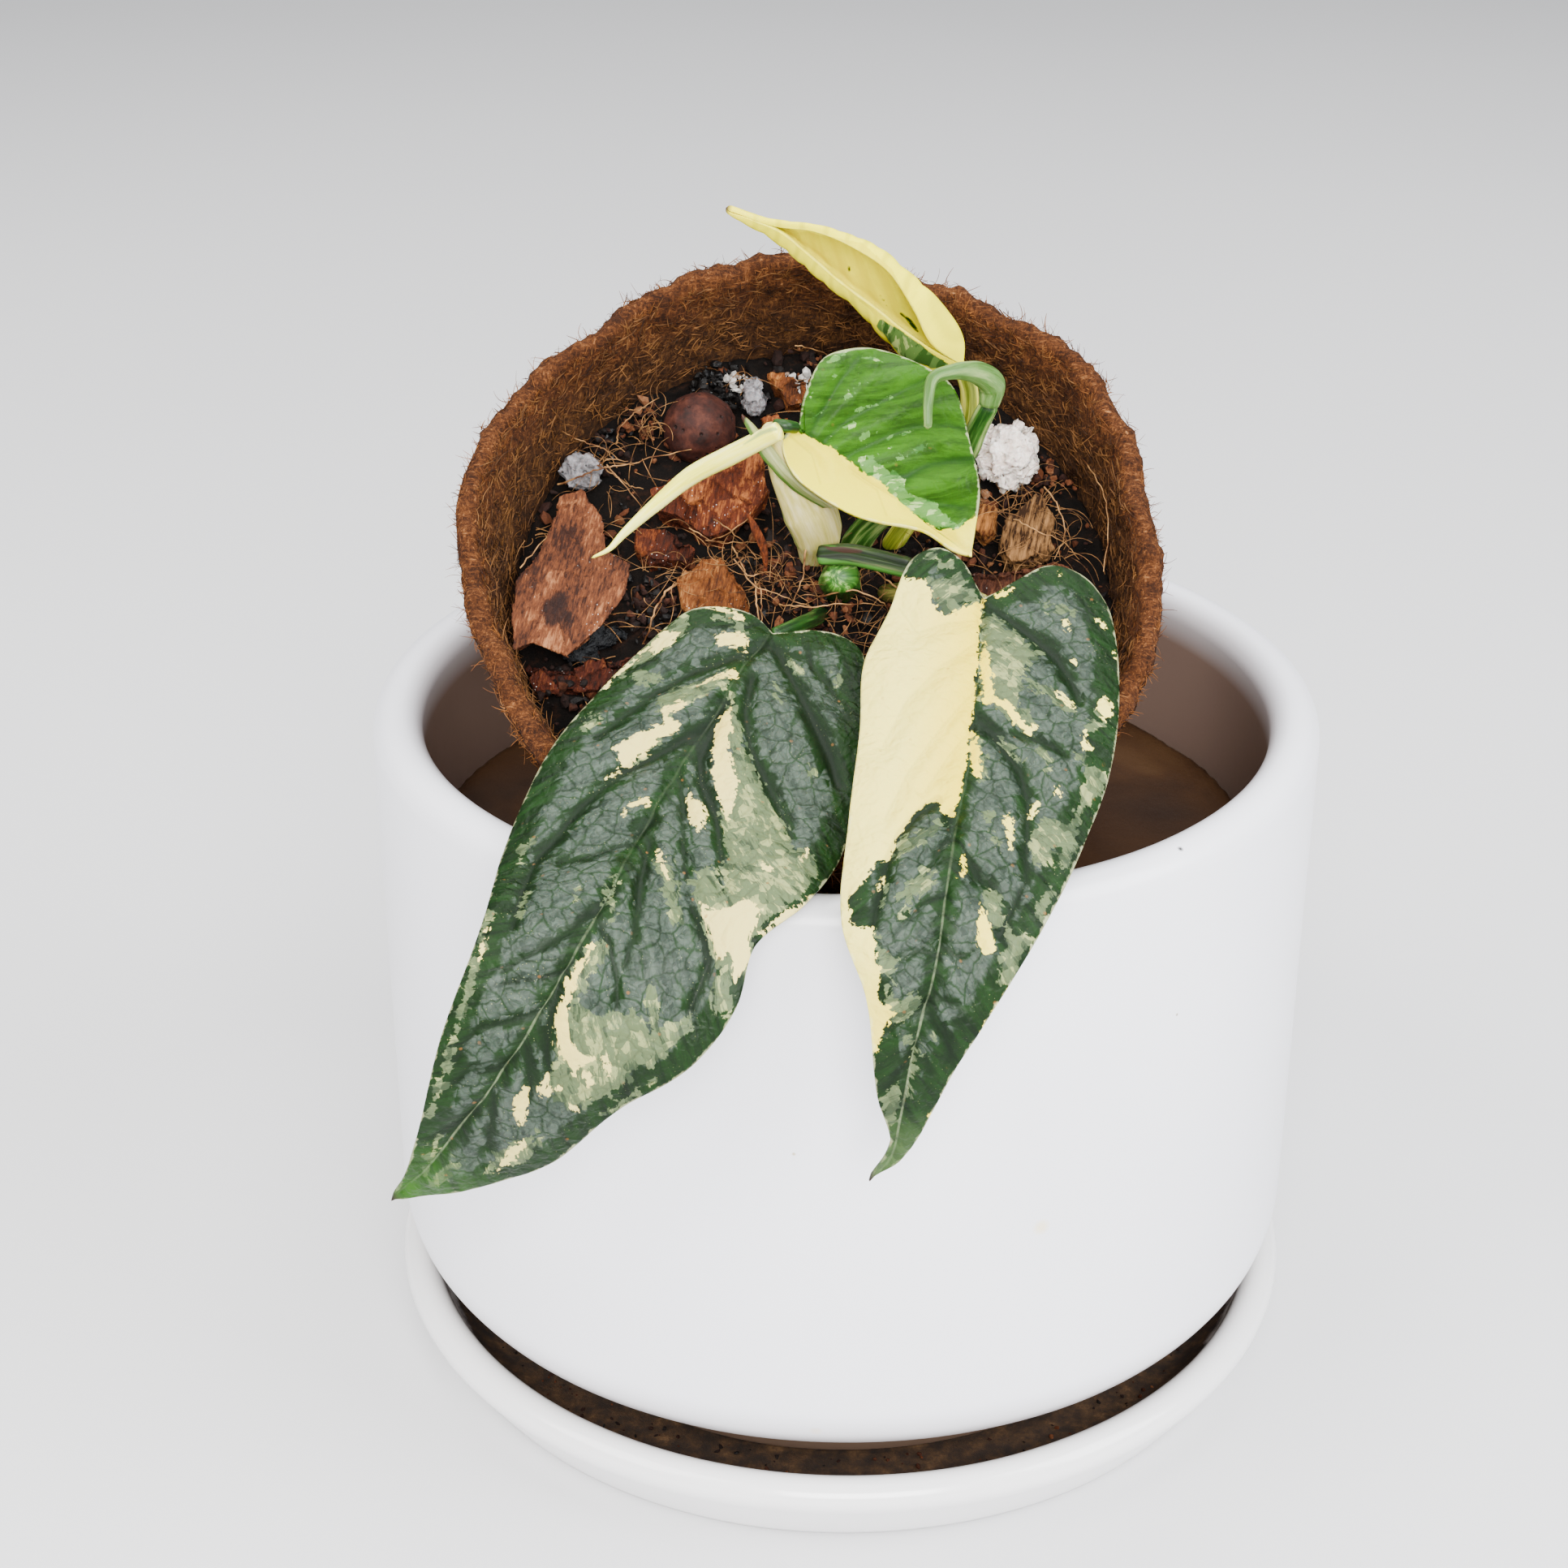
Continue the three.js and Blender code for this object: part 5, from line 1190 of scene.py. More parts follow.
def make_saucer():
    profile = [(0, 0), (69.2, 0), (70.3, 0.35), (70.7, 1), *arc(74, 11.2, 3, -35, 180, 18),
               *stretched([(69.6, 8.6), (67.5, 6.2), (65.6, 4.6), (64, 4)], 1.5), (60, 4), (50, 4), (30, 4),
               (0, 4)]
    shape = spun(profile, 256)
    displaced(shape, lambda points: 0.08 * lumps(points, 40, 2))
    make_piece("saucer_dish", shape, "saucer", saucer_glaze())
    draw = random.Random(settings().mix.seed + 1)
    grit = []
    for _ in range(SAUCER_GRAINS):
        angle, reach = draw.uniform(0, math.tau), draw.uniform(56.8, 65.4)
        size = draw.choice([0.3, 0.4, 0.5, 0.7, 1.0])
        grit.append(((reach * math.cos(angle), reach * math.sin(angle), 4.0 + size * 0.2), size,
                     draw.uniform(0.08, 0.55)))
    crumbs("saucer_grit", grit, "saucer", loose_crumbs(), 3)


def make_fill():
    shape = weathered("planter_fill", 1.4, lambda points: 0.35 * lumps(points, 16, 3))
    make_piece("planter_fill_bed", shape, "planter_fill", peat_fill())


def rim_shape(angles):
    """How far the torn rim stands out and up at angles round the pot."""
    degrees = np.mod(np.degrees(angles) + 60, 360) - 60
    table = np.array(RIM_BULGES, float)
    out = np.interp(degrees, table[:, 0], table[:, 1])
    ring = np.stack([np.cos(angles), np.sin(angles), 0 * angles], -1) * POT_MOUTH_RADIUS
    out = out + 0.7 * lumps(ring, 9, 3, 5.0)
    up = 0.5 * np.sin(2 * angles + 0.6) + 0.5 * np.sin(5 * angles) + 0.3 * np.sin(9 * angles + 1)
    up = up + 1.3 * lumps(ring, 7, 5, 2.0) - 0.4
    return out, up


def torn(points):
    """The coir pot's own points with its rim torn."""
    angles = np.arctan2(points[:, 1], points[:, 0])
    out, up = rim_shape(angles)
    share = np.clip((points[:, 2] - POT_HEIGHT + MIX_DEPTH) / MIX_DEPTH, 0, 1)
    share = share * share * (3 - 2 * share)
    reach = np.maximum(np.hypot(points[:, 0], points[:, 1]), 1e-6)
    moved = points.copy()
    moved[:, :2] *= (1 + share * out / reach)[:, None]
    moved[:, 2] += share * up
    return moved


def felted(points):
    """Height of the matted fibre over the pot's plain wall."""
    return 0.6 * lumps(points, 5.5, 3) + 0.75 * np.abs(lumps(points, 2.2, 4, 9.0)) - 0.2


def wall_radius(height):
    """Outer radius of the coir pot at a height over its base."""
    return POT_MOUTH_RADIUS - POT_FLARE * (POT_HEIGHT - height)


def pot_profile():
    foot, half, top = wall_radius(0), (wall_radius(40), 40), wall_radius(79)
    outer = stretched([(0, 0), (foot - 2, 0), (foot, 2), half], 3) + stretched([half, (top, 79)], 0.95)[1:]
    rim = arc(POT_MOUTH_RADIUS - POT_WALL / 2, POT_HEIGHT - 1.2, POT_WALL / 2, 0, 180, 6)
    low = (wall_radius(58) - POT_WALL, 58)
    inner = stretched([(top - POT_WALL, 78.6), low], 0.9)
    base = stretched([low, (wall_radius(4) - POT_WALL, 4), (0, 4)], 4)[1:]
    return outer + rim + inner + base


def on_wall(angle, height, inside, lift):
    """A point on the coir pot's wall, over the felt, in the pot's own frame."""
    radius = wall_radius(height) + (-POT_WALL - lift if inside else lift)
    return (radius * math.cos(angle), radius * math.sin(angle), height)


def make_coir_pot():
    shape = spun(pot_profile(), 400)
    depth = shape.verts.layers.float.new("depth")
    points = torn(np.array([vert.co for vert in shape.verts]))
    for vert, point in zip(shape.verts, points):
        reach = math.hypot(vert.co.x, vert.co.y)
        inside = reach < wall_radius(vert.co.z) - POT_WALL / 2 - 0.2
        vert[depth] = (POT_HEIGHT - vert.co.z) / MIX_DEPTH if inside else 0.0
        vert.co = point
    displaced(shape, felted)
    bmesh.ops.transform(shape, matrix=tilt_matrix(), verts=shape.verts)
    make_piece("coir_pot_shell", shape, "coir_pot", pressed_coir())
    make_fibres()


def make_fibres():
    """Fibres of the coir pot: stray hairs on the rim and short ones matted on its walls."""
    size = settings().pot
    draw = random.Random(settings().mix.seed)
    roots, kinds = [], []
    for _ in range(size.hair_count):
        angle = draw.uniform(0, math.tau)
        roots.append(on_wall(angle, POT_HEIGHT - draw.uniform(0, 2.2), draw.random() < 0.4, -0.3))
        kinds.append("rim")
    for _ in range(size.matting_count):
        inside = draw.random() < 0.6
        low = POT_HEIGHT - MIX_DEPTH if inside else 18
        roots.append(on_wall(draw.uniform(0, math.tau), draw.uniform(low, POT_HEIGHT), inside, 0.0))
        kinds.append("inside" if inside else "outside")
    roots = torn(np.array(roots))
    raised = felted(roots)
    tilt = np.array(tilt_matrix())
    groups = {"rim": [], "inside": [], "outside": []}
    for root, kind, rise in zip(roots, kinds, raised):
        radial = np.array([root[0], root[1], 0]) / math.hypot(root[0], root[1])
        around = np.array([-radial[1], radial[0], 0])
        up = np.array([0, 0, 1.0])
        if kind == "rim":
            heading = up * draw.uniform(-0.1, 1) + radial * draw.uniform(-0.5, 1.2)
            heading = heading + around * draw.uniform(-1, 1)
            length = draw.choice([0.5, 0.7, 0.9, 1.2, 1.6, 2.6])
            away = heading
        else:
            face = -radial if kind == "inside" else radial
            spin = draw.uniform(0, math.tau)
            heading = up * math.sin(spin) + around * math.cos(spin)
            length = draw.uniform(1.2, 3.4)
            root = root + face * (rise + 0.08)
            away = face
        heading = heading / max(np.linalg.norm(heading), 1e-6)
        bend = np.cross(heading, [draw.uniform(-1, 1) for _ in range(3)])
        steps = np.linspace(0, 1, 5)[:, None]
        points = root + heading * steps * length + bend * (steps ** 2) * length * draw.uniform(-0.9, 0.9)
        points = points + away * (steps * (1 - steps)) * draw.uniform(0.0, 0.8)
        points = points @ tilt[:3, :3].T + tilt[:3, 3]
        thick = draw.uniform(0.03, 0.075) if kind == "rim" else draw.uniform(0.05, 0.11)
        groups[kind].append((points, thick * np.array([1, 1, 0.9, 0.7, 0.35])))
    for kind, name, skin, low, high in (("rim", "rim_hairs", "light", 0x381A08, 0x7C4A1E),
                                        ("inside", "matting_inside", "damp", 0x241208, 0x704A26),
                                        ("outside", "matting_outside", "dry", 0x3A1E0C, 0x8A5A30)):
        strands(f"coir_pot_{name}", groups[kind], "coir_pot",
                coir_hair(f"coir_hair_{skin}", low, high))


def mix_place(angle, reach, height):
    """A place over the mix, by angle and reach from its middle."""
    back = math.sin(angle)
    radial = np.array([math.cos(angle), back * math.cos(POT_TILT), back * math.sin(POT_TILT)])
    return MIX_CENTRE + radial * reach + POT_AXIS * height


def off_axis(points):
    """How far the furthest of some points is from the coir pot's axis."""
    offsets = points - MIX_CENTRE
    flat = offsets - (offsets @ POT_AXIS)[..., None] * POT_AXIS
    return np.linalg.norm(flat, axis=-1).max()


def make_mix():
    size = settings().mix
    top = POT_HEIGHT - MIX_DEPTH
    profile = stretched([(0, 4.4), (36.6, 4.4), (45.6, 58)], 6)
    profile += stretched([(45.6, 58), (47.2, top - 0.2), (44, top), (0, top)], 0.9)[1:]
    shape = spun(profile, 220)
    points = np.array([vert.co for vert in shape.verts])
    rough = 1.3 * lumps(points, 9, 3) + 0.8 * lumps(points, 2.6, 4, 3.0)
    for vert, rise in zip(shape.verts, rough):
        if vert.co.z > top - 1:
            vert.co.z += float(rise) - 0.5
    bmesh.ops.transform(shape, matrix=tilt_matrix(), verts=shape.verts)
    make_piece("potting_mix_bed", shape, "potting_mix", damp_peat())
    draw = random.Random(size.seed + 2)
    places = []
    for _ in range(size.crumb_count):
        reach = MIX_REACH * math.sqrt(draw.random())
        grit = draw.choice([0.6, 0.8, 1.0, 1.3, 1.8, 2.6])
        places.append((mix_place(draw.uniform(0, math.tau), reach, draw.uniform(-0.4, 1.0)), grit,
                       draw.choice([0.08, 0.15, 0.2, 0.25, 0.32, 0.45, 0.55]) + draw.uniform(-0.04, 0.04)))
    for column, row, spread, count, low, high in HEAPS:
        for _ in range(count):
            spot = over_mix(draw.gauss(column, spread / 2), draw.gauss(row, spread / 2),
                            draw.uniform(-0.2, 2.2))
            if off_axis(spot) < MIX_REACH + 0.5:
                places.append((spot, draw.choice([0.7, 1.0, 1.4, 2.0]), draw.uniform(low, high)))
    crumbs("potting_mix_crumbs", places, "potting_mix", loose_crumbs(), 5)
    make_roots(draw)


def make_roots(draw):
    """Roots and coir strands: the long ones that the photograph shows and fine ones between them."""
    lines = []
    for radius, route in ROOTS:
        line, _ = smooth_line([over_mix(*place) for place in np.reshape(route, (-1, 3))], 6)
        taper = 0.6 * radius * np.linspace(1.0, 0.5, len(line))
        shaken = np.array([[draw.uniform(-1, 1) for _ in range(3)] for _ in line])
        lines.append((line + 0.15 * shaken, taper))
    roots = coir_hair("dry_root", 0x4A2A14, 0xA47A4C)
    strands("mix_roots", lines, "potting_mix", roots, sides=1)
    fine = []
    for _ in range(settings().mix.strand_count):
        reach = (MIX_REACH - 1) * math.sqrt(draw.random())
        angle = draw.uniform(0, math.tau)
        root = mix_place(angle, reach, 0.3)
        heading = draw.uniform(0, math.tau)
        turn = draw.uniform(-1.6, 1.6)
        length = draw.choice([4, 6, 8, 11, 15])
        arch = draw.choice([0.5, 1.0, 2.0, 3.5])
        points, spot = [], root
        for share in np.linspace(0, 1, STRAND_POINTS):
            way = heading + turn * share
            spot = spot + mix_place(way, length / (STRAND_POINTS - 1), 0) - MIX_CENTRE
            points.append(spot + POT_AXIS * (arch * math.sin(math.pi * share) + 0.9))
        points = np.array(points)
        if off_axis(points) < MIX_REACH + 0.8:
            fine.append((points, draw.uniform(0.04, 0.095) * np.linspace(1, 0.5, STRAND_POINTS)))
    for column, row, height, spread, count, length in TANGLES:
        for _ in range(count):
            spot = over_mix(draw.gauss(column, spread / 2), draw.gauss(row, spread / 2),
                            height * draw.uniform(0.2, 1.1))
            way, turn = draw.uniform(0, math.tau), draw.uniform(-3, 3)
            rise, reach = draw.uniform(-0.3, 0.5), length * draw.uniform(0.4, 1.1)
            points = []
            step = reach / (STRAND_POINTS - 1)
            for share in np.linspace(0, 1, STRAND_POINTS):
                spot = spot + mix_place(way + turn * share, step, rise * step) - MIX_CENTRE
                points.append(spot + POT_AXIS * math.sin(math.pi * share) * 0.12 * reach)
            points = np.array(points)
            if off_axis(points) < MIX_REACH + 1:
                fine.append((points, draw.uniform(0.04, 0.085) * np.linspace(1, 0.5, STRAND_POINTS)))
    strands("mix_fine_strands", fine, "potting_mix",
            coir_hair("coir_strand", 0x301A0A, 0x946A40))
    sliver, _ = smooth_line([over_mix(*spot) for spot in SPLINTER], 8)
    width = 0.75 * np.sin(np.linspace(0.25, math.pi - 0.1, len(sliver))) + 0.08
    strands("bark_sliver", [(sliver, width)], "potting_mix",
            bark_finish("split_bark", 0x341406, 0x6A3010, 0x8E5424), sides=1)


BARK_TONES = {
    "bark_slab": (0x2A140C, 0x66381F, 0xA26C46), "bark_chunk": (0x240A03, 0x56240E, 0xA46030),
    "bark_chunk_lower": (0x1C0803, 0x441A08, 0x84441E), "bark_chip_front": (0x381A09, 0x6E3C16, 0xA67240),
    "bark_chip_back": (0x341808, 0x6A3816, 0xA66C36), "bark_chip_small": (0x3C1808, 0x763C1C, 0xA86A38),
    "bark_chip_right": (0x2A120A, 0x5A3422, 0x8A5A3A), "bark_chip_low": (0x1A0904, 0x42190C, 0x6E3A1C),
}
HUSK_TONES = {"husk_chip_large": (0x241408, 0x86603A), "husk_chip_small": (0x40200C, 0x986230)}


def broken(points, depth):
    """Relief and tint of broken bark: flat flakes that end in steps, with a fine tooth."""
    long_way = points * np.array([1.0, 0.75, 0.6])
    large, small = facets(long_way, 6.0), facets(long_way, 2.3, 3.0)
    relief = depth * (0.9 * large + 0.35 * small - 0.5) + 0.16 * lumps(points, 1.3, 4, 4.0)
    return relief, 0.6 * large + 0.4 * small


def make_bark():
    for node, tones in BARK_TONES.items():
        depth = 0.35 if node == "bark_slab" else 1.0
        shape = weathered(node, 0.34, lambda points: broken(points, depth))
        finish = bark_finish(f"{node}_cork", *tones, stain=node == "bark_slab")
        make_piece(f"{node}_piece", shape, node, finish)
    for node, tones in HUSK_TONES.items():
        shape = weathered(node, 0.36, lambda points: 0.7 * lumps(points * np.array([1, 1, 0.25]), 1.6, 4)
                          + 0.4 * lumps(points, 5, 3))
        make_piece(f"{node}_piece", shape, node, husk_finish(f"{node}_pith", *tones))


def make_stones():
    speckled = pumice("speckled_pumice", 0x383636, 0x8A8688, 0.95)
    pitted = lambda p: 0.6 * facets(p, 2.6) - 0.3 + 0.3 * lumps(p, 1.2, 4)
    stones = {
        "clay_ball": (0.32, "fired_clay", fired_clay(),
                      lambda p: 0.12 * lumps(p, 5, 2) + 0.1 * lumps(p, 1.5, 3)),
        "pumice_right": (0.3, "pumice", pumice("white_pumice", 0xC8B6AA, 0xF6ECE2, 0.12),
                         lambda p: 0.9 * facets(p, 3.0) + 0.5 * facets(p, 1.2, 2.0) - 0.7
                         + 0.2 * lumps(p, 0.9, 3)),
        "pumice_back": (0.22, "pumice", speckled, pitted), "pumice_left": (0.24, "pumice", speckled, pitted),
        "charcoal": (0.22, "charcoal", charcoal_finish(),
                     lambda p: 0.9 * facets(p, 2.4) - 0.45 + 0.2 * lumps(p, 0.8, 3))}
    for node, (cell, slot, finish, relief) in stones.items():
        make_piece(f"{node}_piece", weathered(node, cell, relief), node, finish)


def leaf_fields(leaf, across, along):
    """Points of a leaf blade on a grid of shares, with the fields that its skin's pattern needs."""
    def line(name):
        table = np.array(leaf["depths"], float)
        spots = [(*p, 0.0) if len(p) == 2 else p for p in leaf[name]]
        return smooth_line([sight(c, r, np.interp(r, table[:, 0], table[:, 1]) + back)
                            for c, r, back in spots], 10)[0]
    signed = 2 * across - 1
    s = np.abs(signed)[..., None]
    left_side = (signed < 0)[..., None]
    shares = along[:, 0]
    rib = line("midrib")
    root = evenly(rib, np.maximum(0, (shares - leaf["lobe"]) / (1 - leaf["lobe"])))[:, None, :]
    left, right = line("left"), line("right")
    edge = np.where(left_side, evenly(left, shares)[:, None, :], evenly(right, shares)[:, None, :])
    points = root + (edge - root) * s
    if "left_fold" in leaf:
        fold = np.where(left_side, evenly(line("left_fold"), shares)[:, None, :],
                        evenly(line("right_fold"), shares)[:, None, :])
        points = points + (fold - (root + (edge - root) * 0.6)) * (s * (1 - s) / 0.24)
    rows, columns = points.shape[:2]
    around = np.gradient(points, axis=1)
    down = np.gradient(points, axis=0)
    facing = np.cross(around, down)
    facing /= np.maximum(np.linalg.norm(facing, axis=-1, keepdims=True), 1e-9)
    out = facing[rows // 2, columns // 2]
    if out @ (EYE - points[rows // 2, columns // 2]) < 0:
        facing, out = -facing, -out
    points = points + out * (leaf["cup"] * np.sin(np.pi * along) * (signed ** 2 - 1))[..., None]
    flat = points.reshape(-1, 3)
    middle = points[shares >= leaf["lobe"], columns // 2]
    rib_gap, rib_reach = off_line(flat, middle[::3])
    start, ahead = middle[0], (middle[9] - middle[0]) / np.linalg.norm(middle[9] - middle[0])
    behind = np.minimum((flat - start) @ ahead, 0)
    travel = np.where(rib_reach < 1e-6, behind, rib_reach)
    side_gap = np.where(rib_reach < 1e-6, np.sqrt(np.maximum(rib_gap ** 2 - behind ** 2, 0)), rib_gap)
    edge_gap = np.minimum(off_line(flat, left[::2])[0], off_line(flat, right[::2])[0])
    places = photo_place(flat)
    side = np.where(signed.ravel() < 0, -side_gap, side_gap)
    if "grooves" in leaf:
        vein_gap = -marked(places, leaf["grooves"])
        line_gap = -marked(places, leaf["grooves"], width=0.0)
        course = travel - side_gap
    else:
        lean = np.where(signed.ravel() < 0, *leaf["vein_lean"])
        course = travel - lean * side_gap + 0.9 * lumps(flat, 14, 2)
        step = leaf["vein_step"]
        vein_gap = np.abs(course - step * np.round(course / step)) / np.sqrt(1 + lean ** 2) - 0.2
        vein_gap = np.where(course > 0, vein_gap, np.minimum(vein_gap, np.abs(course)))
        line_gap = vein_gap
    grid = lambda values: values.reshape(rows, columns)
    wavy = 0.55 * lumps(flat, 11, 2, 6.0) * np.clip(1 - edge_gap / 9, 0, 1)
    fade = np.clip(edge_gap / 4, 0, 1)
    sunk = -0.4 * fade * np.exp(-(line_gap / 1.2) ** 2) - 0.45 * np.exp(-(rib_gap / 0.7) ** 2)
    puffed = 0.7 * (1 - np.exp(-(line_gap / 3.4) ** 2)) * fade
    points = points + facing * grid(sunk + puffed + wavy)[..., None]
    patches = [marked(places, leaf.get(name, []), leaf.get(name + "_areas", []))
               for name in ("cream", "sage", "flecks")]
    pack = lambda *parts: np.stack([grid(part) for part in parts], -1)
    fields = {"flow": pack(course, side, travel), "veins": pack(vein_gap, rib_gap, edge_gap),
              "patches": pack(*patches), "share": along}
    return points, fields


def make_leaf(node, finish):
    leaf = LEAVES[node]
    columns, rows = leaf["grid"]
    shape = sheet(columns, rows, lambda across, along: leaf_fields(leaf, across, along))
    thicken(make_piece(f"{node}_blade", shape, node, finish), settings().plant.blade)


def make_leaves():
    greens, silvers, sages = (0x081706, 0x122C0B), (0x252F27, 0x444F45), (0x323F2A, 0x525F40, 0x848B5A)
    make_leaf("leaf_left", leaf_finish(
        "leaf_skin_dark", greens, silvers, sages, (0xD0C274, 0xD6C264), specks=0.5, shine=0.15,
        young_tone=0x2E5814, groove_tone=0x071406))
    make_leaf("leaf_right", leaf_finish(
        "leaf_skin_half_cream", greens, silvers, sages, (0xE4D66C, 0xE6CC20), specks=0.4, shine=0.15,
        young_tone=0x465E34, groove_tone=0x071406))
    make_leaf("leaf_middle", leaf_finish(
        "leaf_skin_green", (0x1C3A04, 0x32600C), (0x2A5C14, 0x3A7022), (0x2C5A1E, 0x4E7A36, 0x8CA866),
        (0xE4D800, 0xDCCC00), silver=0.0, ragged=0.5, gloss=0.42, rib_tone=0x447428, groove_tone=0x0E2E06,
        relief=0.05, net=0.3, specks=0.2, young_tone=0xF0E050, tip_tone=0xF0E060, shine=0.1, less_sage=0.1))
    make_leaf("leaf_upper", leaf_finish(
        "leaf_skin_yellow", (0xD2C600, 0xDED200), (0xD8CC00, 0xE2D800), (0x2A4618, 0x48642C, 0x8C9A54),
        (0xECE20C, 0xE8DE06), silver=0.3, ragged=0.1, gloss=0.48, rib_tone=0xF4E800, groove_tone=0xCEBE00,
        relief=0.03, fleck=0x0C2A0A, net=0.2, specks=0.0, young_tone=0xEEE030, tip_tone=0x4A3A2A, shine=0.1,
        margin=0.1))


def stalk_section(node, turn):
    """How far a stalk's skin is from its middle, at turns round it."""
    if node == "cut_petiole":
        return 1 - 0.55 * np.exp(-((np.mod(turn + 0.25, 1) - 0.5) / 0.11) ** 2)
    if node == "leaf_sheath":
        return 1 + 0.1 * np.exp(-((turn - 0.34) / 0.06) ** 2) - 0.06 * np.exp(-((turn - 0.42) / 0.05) ** 2)
    if node in ("petiole_shoot", "petiole_upper"):
        return 1 + 0.08 * np.cos(4 * np.pi * turn)
    if node == "stem_node":
        return 1 + 0.04 * np.cos(14 * np.pi * turn)
    return np.ones_like(turn)


# How many sides a stalk's skin has, and how far its rings of points are apart
STALK_SIDES, STALK_RING = 40, 0.45

# Green and brown marks of the stalks: streaks of photo column, row and half width, over and over
STALK_MARKS = {
    "leaf_sheath": {
        "green": [[936, 548, 3, 948, 590, 2, 964, 634, 2, 984, 676, 2], [940, 536, 5, 946, 556, 4]],
        "brown": [[1018, 640, 0.8, 1022, 648, 0.6], [1002, 632, 0.6, 1006, 634, 0.6]],
    },
    "cut_petiole": {
        "green": [[1002, 690, 5, 1040, 694, 4, 1080, 702, 4, 1118, 712, 5], [1010, 670, 2, 1030, 674, 2]],
        "brown": [
            [1014, 672, 1.5, 1022, 676, 3, 1040, 678, 4, 1062, 680, 2.5],
            [1044, 668, 1, 1078, 674, 1.5, 1114, 684, 2],
        ],
    },
    "curled_shoot": {
        "green": [[1215, 470, 2, 1222, 486, 2]],
    },
    "rolled_leaf": {
        "green": [[958, 527, 4, 938, 534, 4, 916, 548, 2]],
    },
    "stem_node": {
        "green": [[1012, 732, 6, 1034, 738, 7, 1056, 730, 6]],
    },
}


def make_stalk(node, finish):
    route = np.array(STALKS[node], float)
    line, knots = smooth_line([over_mix(*spot[:3]) for spot in route], 14)
    radii = np.interp(knots, np.arange(len(route)), route[:, 3])
    lengths = travelled(line)
    marks = STALK_MARKS.get(node, {})
    dome = 0.5 * radii.mean()

    def follow(values, travel):
        return np.stack([np.interp(travel, lengths, values[:, k]) for k in range(3)], -1)

    def place(across, along):
        reached = along[:, 0] * (lengths[-1] + 2 * dome) - dome
        travel = np.clip(reached, 0, lengths[-1])
        over = np.abs(reached - travel) / dome
        cap = np.sqrt(np.maximum(1 - over ** 2, 0))
        forward = follow(np.gradient(line, axis=0), travel)
        forward /= np.linalg.norm(forward, axis=1, keepdims=True)
        side = np.cross(forward[0], POT_AXIS + np.array([0, -1, 0]))
        sides, lifts = [], []
        for ahead in forward:
            side = side - ahead * (side @ ahead)
            side = side / np.linalg.norm(side)
            sides.append(side)
            lifts.append(np.cross(side, ahead))
        sides, lifts = np.array(sides)[:, None, :], np.array(lifts)[:, None, :]
        bulge = (np.sign(along[:, 0] - 0.5) * over * dome)[:, None] * forward
        radius = np.interp(travel, lengths, radii)[:, None]
        reach = radius * cap[:, None] * stalk_section(node, across)
        angle = 2 * np.pi * across
        points = (follow(line, travel) + bulge)[:, None, :]
        points = points + sides * (reach * np.cos(angle))[..., None]
        points = points + lifts * (STALK_DEPTHS.get(node, 1.0) * reach * np.sin(angle))[..., None]
        wobble = 0.05 * lumps(points.reshape(-1, 3), 3, 2).reshape(across.shape)
        points = points + lifts * (wobble * cap[:, None])[..., None]
        places = photo_place(points.reshape(-1, 3))
        green, brown = (marked(places, marks.get(kind, [])).reshape(across.shape)
                        for kind in ("green", "brown"))
        distance = np.broadcast_to(travel[:, None], across.shape)
        return points, {"flow": np.stack([distance, radius * np.cos(angle), radius * np.sin(angle)], -1),
                        "patches": np.stack([green, brown, np.zeros_like(green)], -1)}

    shape = sheet(STALK_SIDES, max(16, int(lengths[-1] / STALK_RING)), place)
    make_piece(f"{node}_stalk", shape, node, finish)


def flap_fields(across, along):
    """Points of the papery bract that wraps the sheath, with the fields of a stalk's skin."""
    upper, lower = [evenly(smooth_line([over_mix(*spot) for spot in edge], 8)[0], along[:, 0])[:, None]
                    for edge in BRACT]
    points = upper + (lower - upper) * across[..., None]
    points = points + POT_AXIS * (0.35 * np.sin(np.pi * across))[..., None]
    flat = points.reshape(-1, 3)
    points = points + POT_AXIS * 0.12 * lumps(flat, 3, 2).reshape(across.shape)[..., None]
    width = np.linalg.norm(lower - upper, axis=-1)
    length = np.linalg.norm(np.diff(upper[:, 0], axis=0), axis=1).sum()
    flow = np.stack([along * length, across * width, 0 * across], -1)
    green = 0.55 - (1 - across) * width * 0.9
    brown = 0.6 - along * length / 1.8
    return points, {"flow": flow, "patches": np.stack([green, brown, 0 * across], -1)}


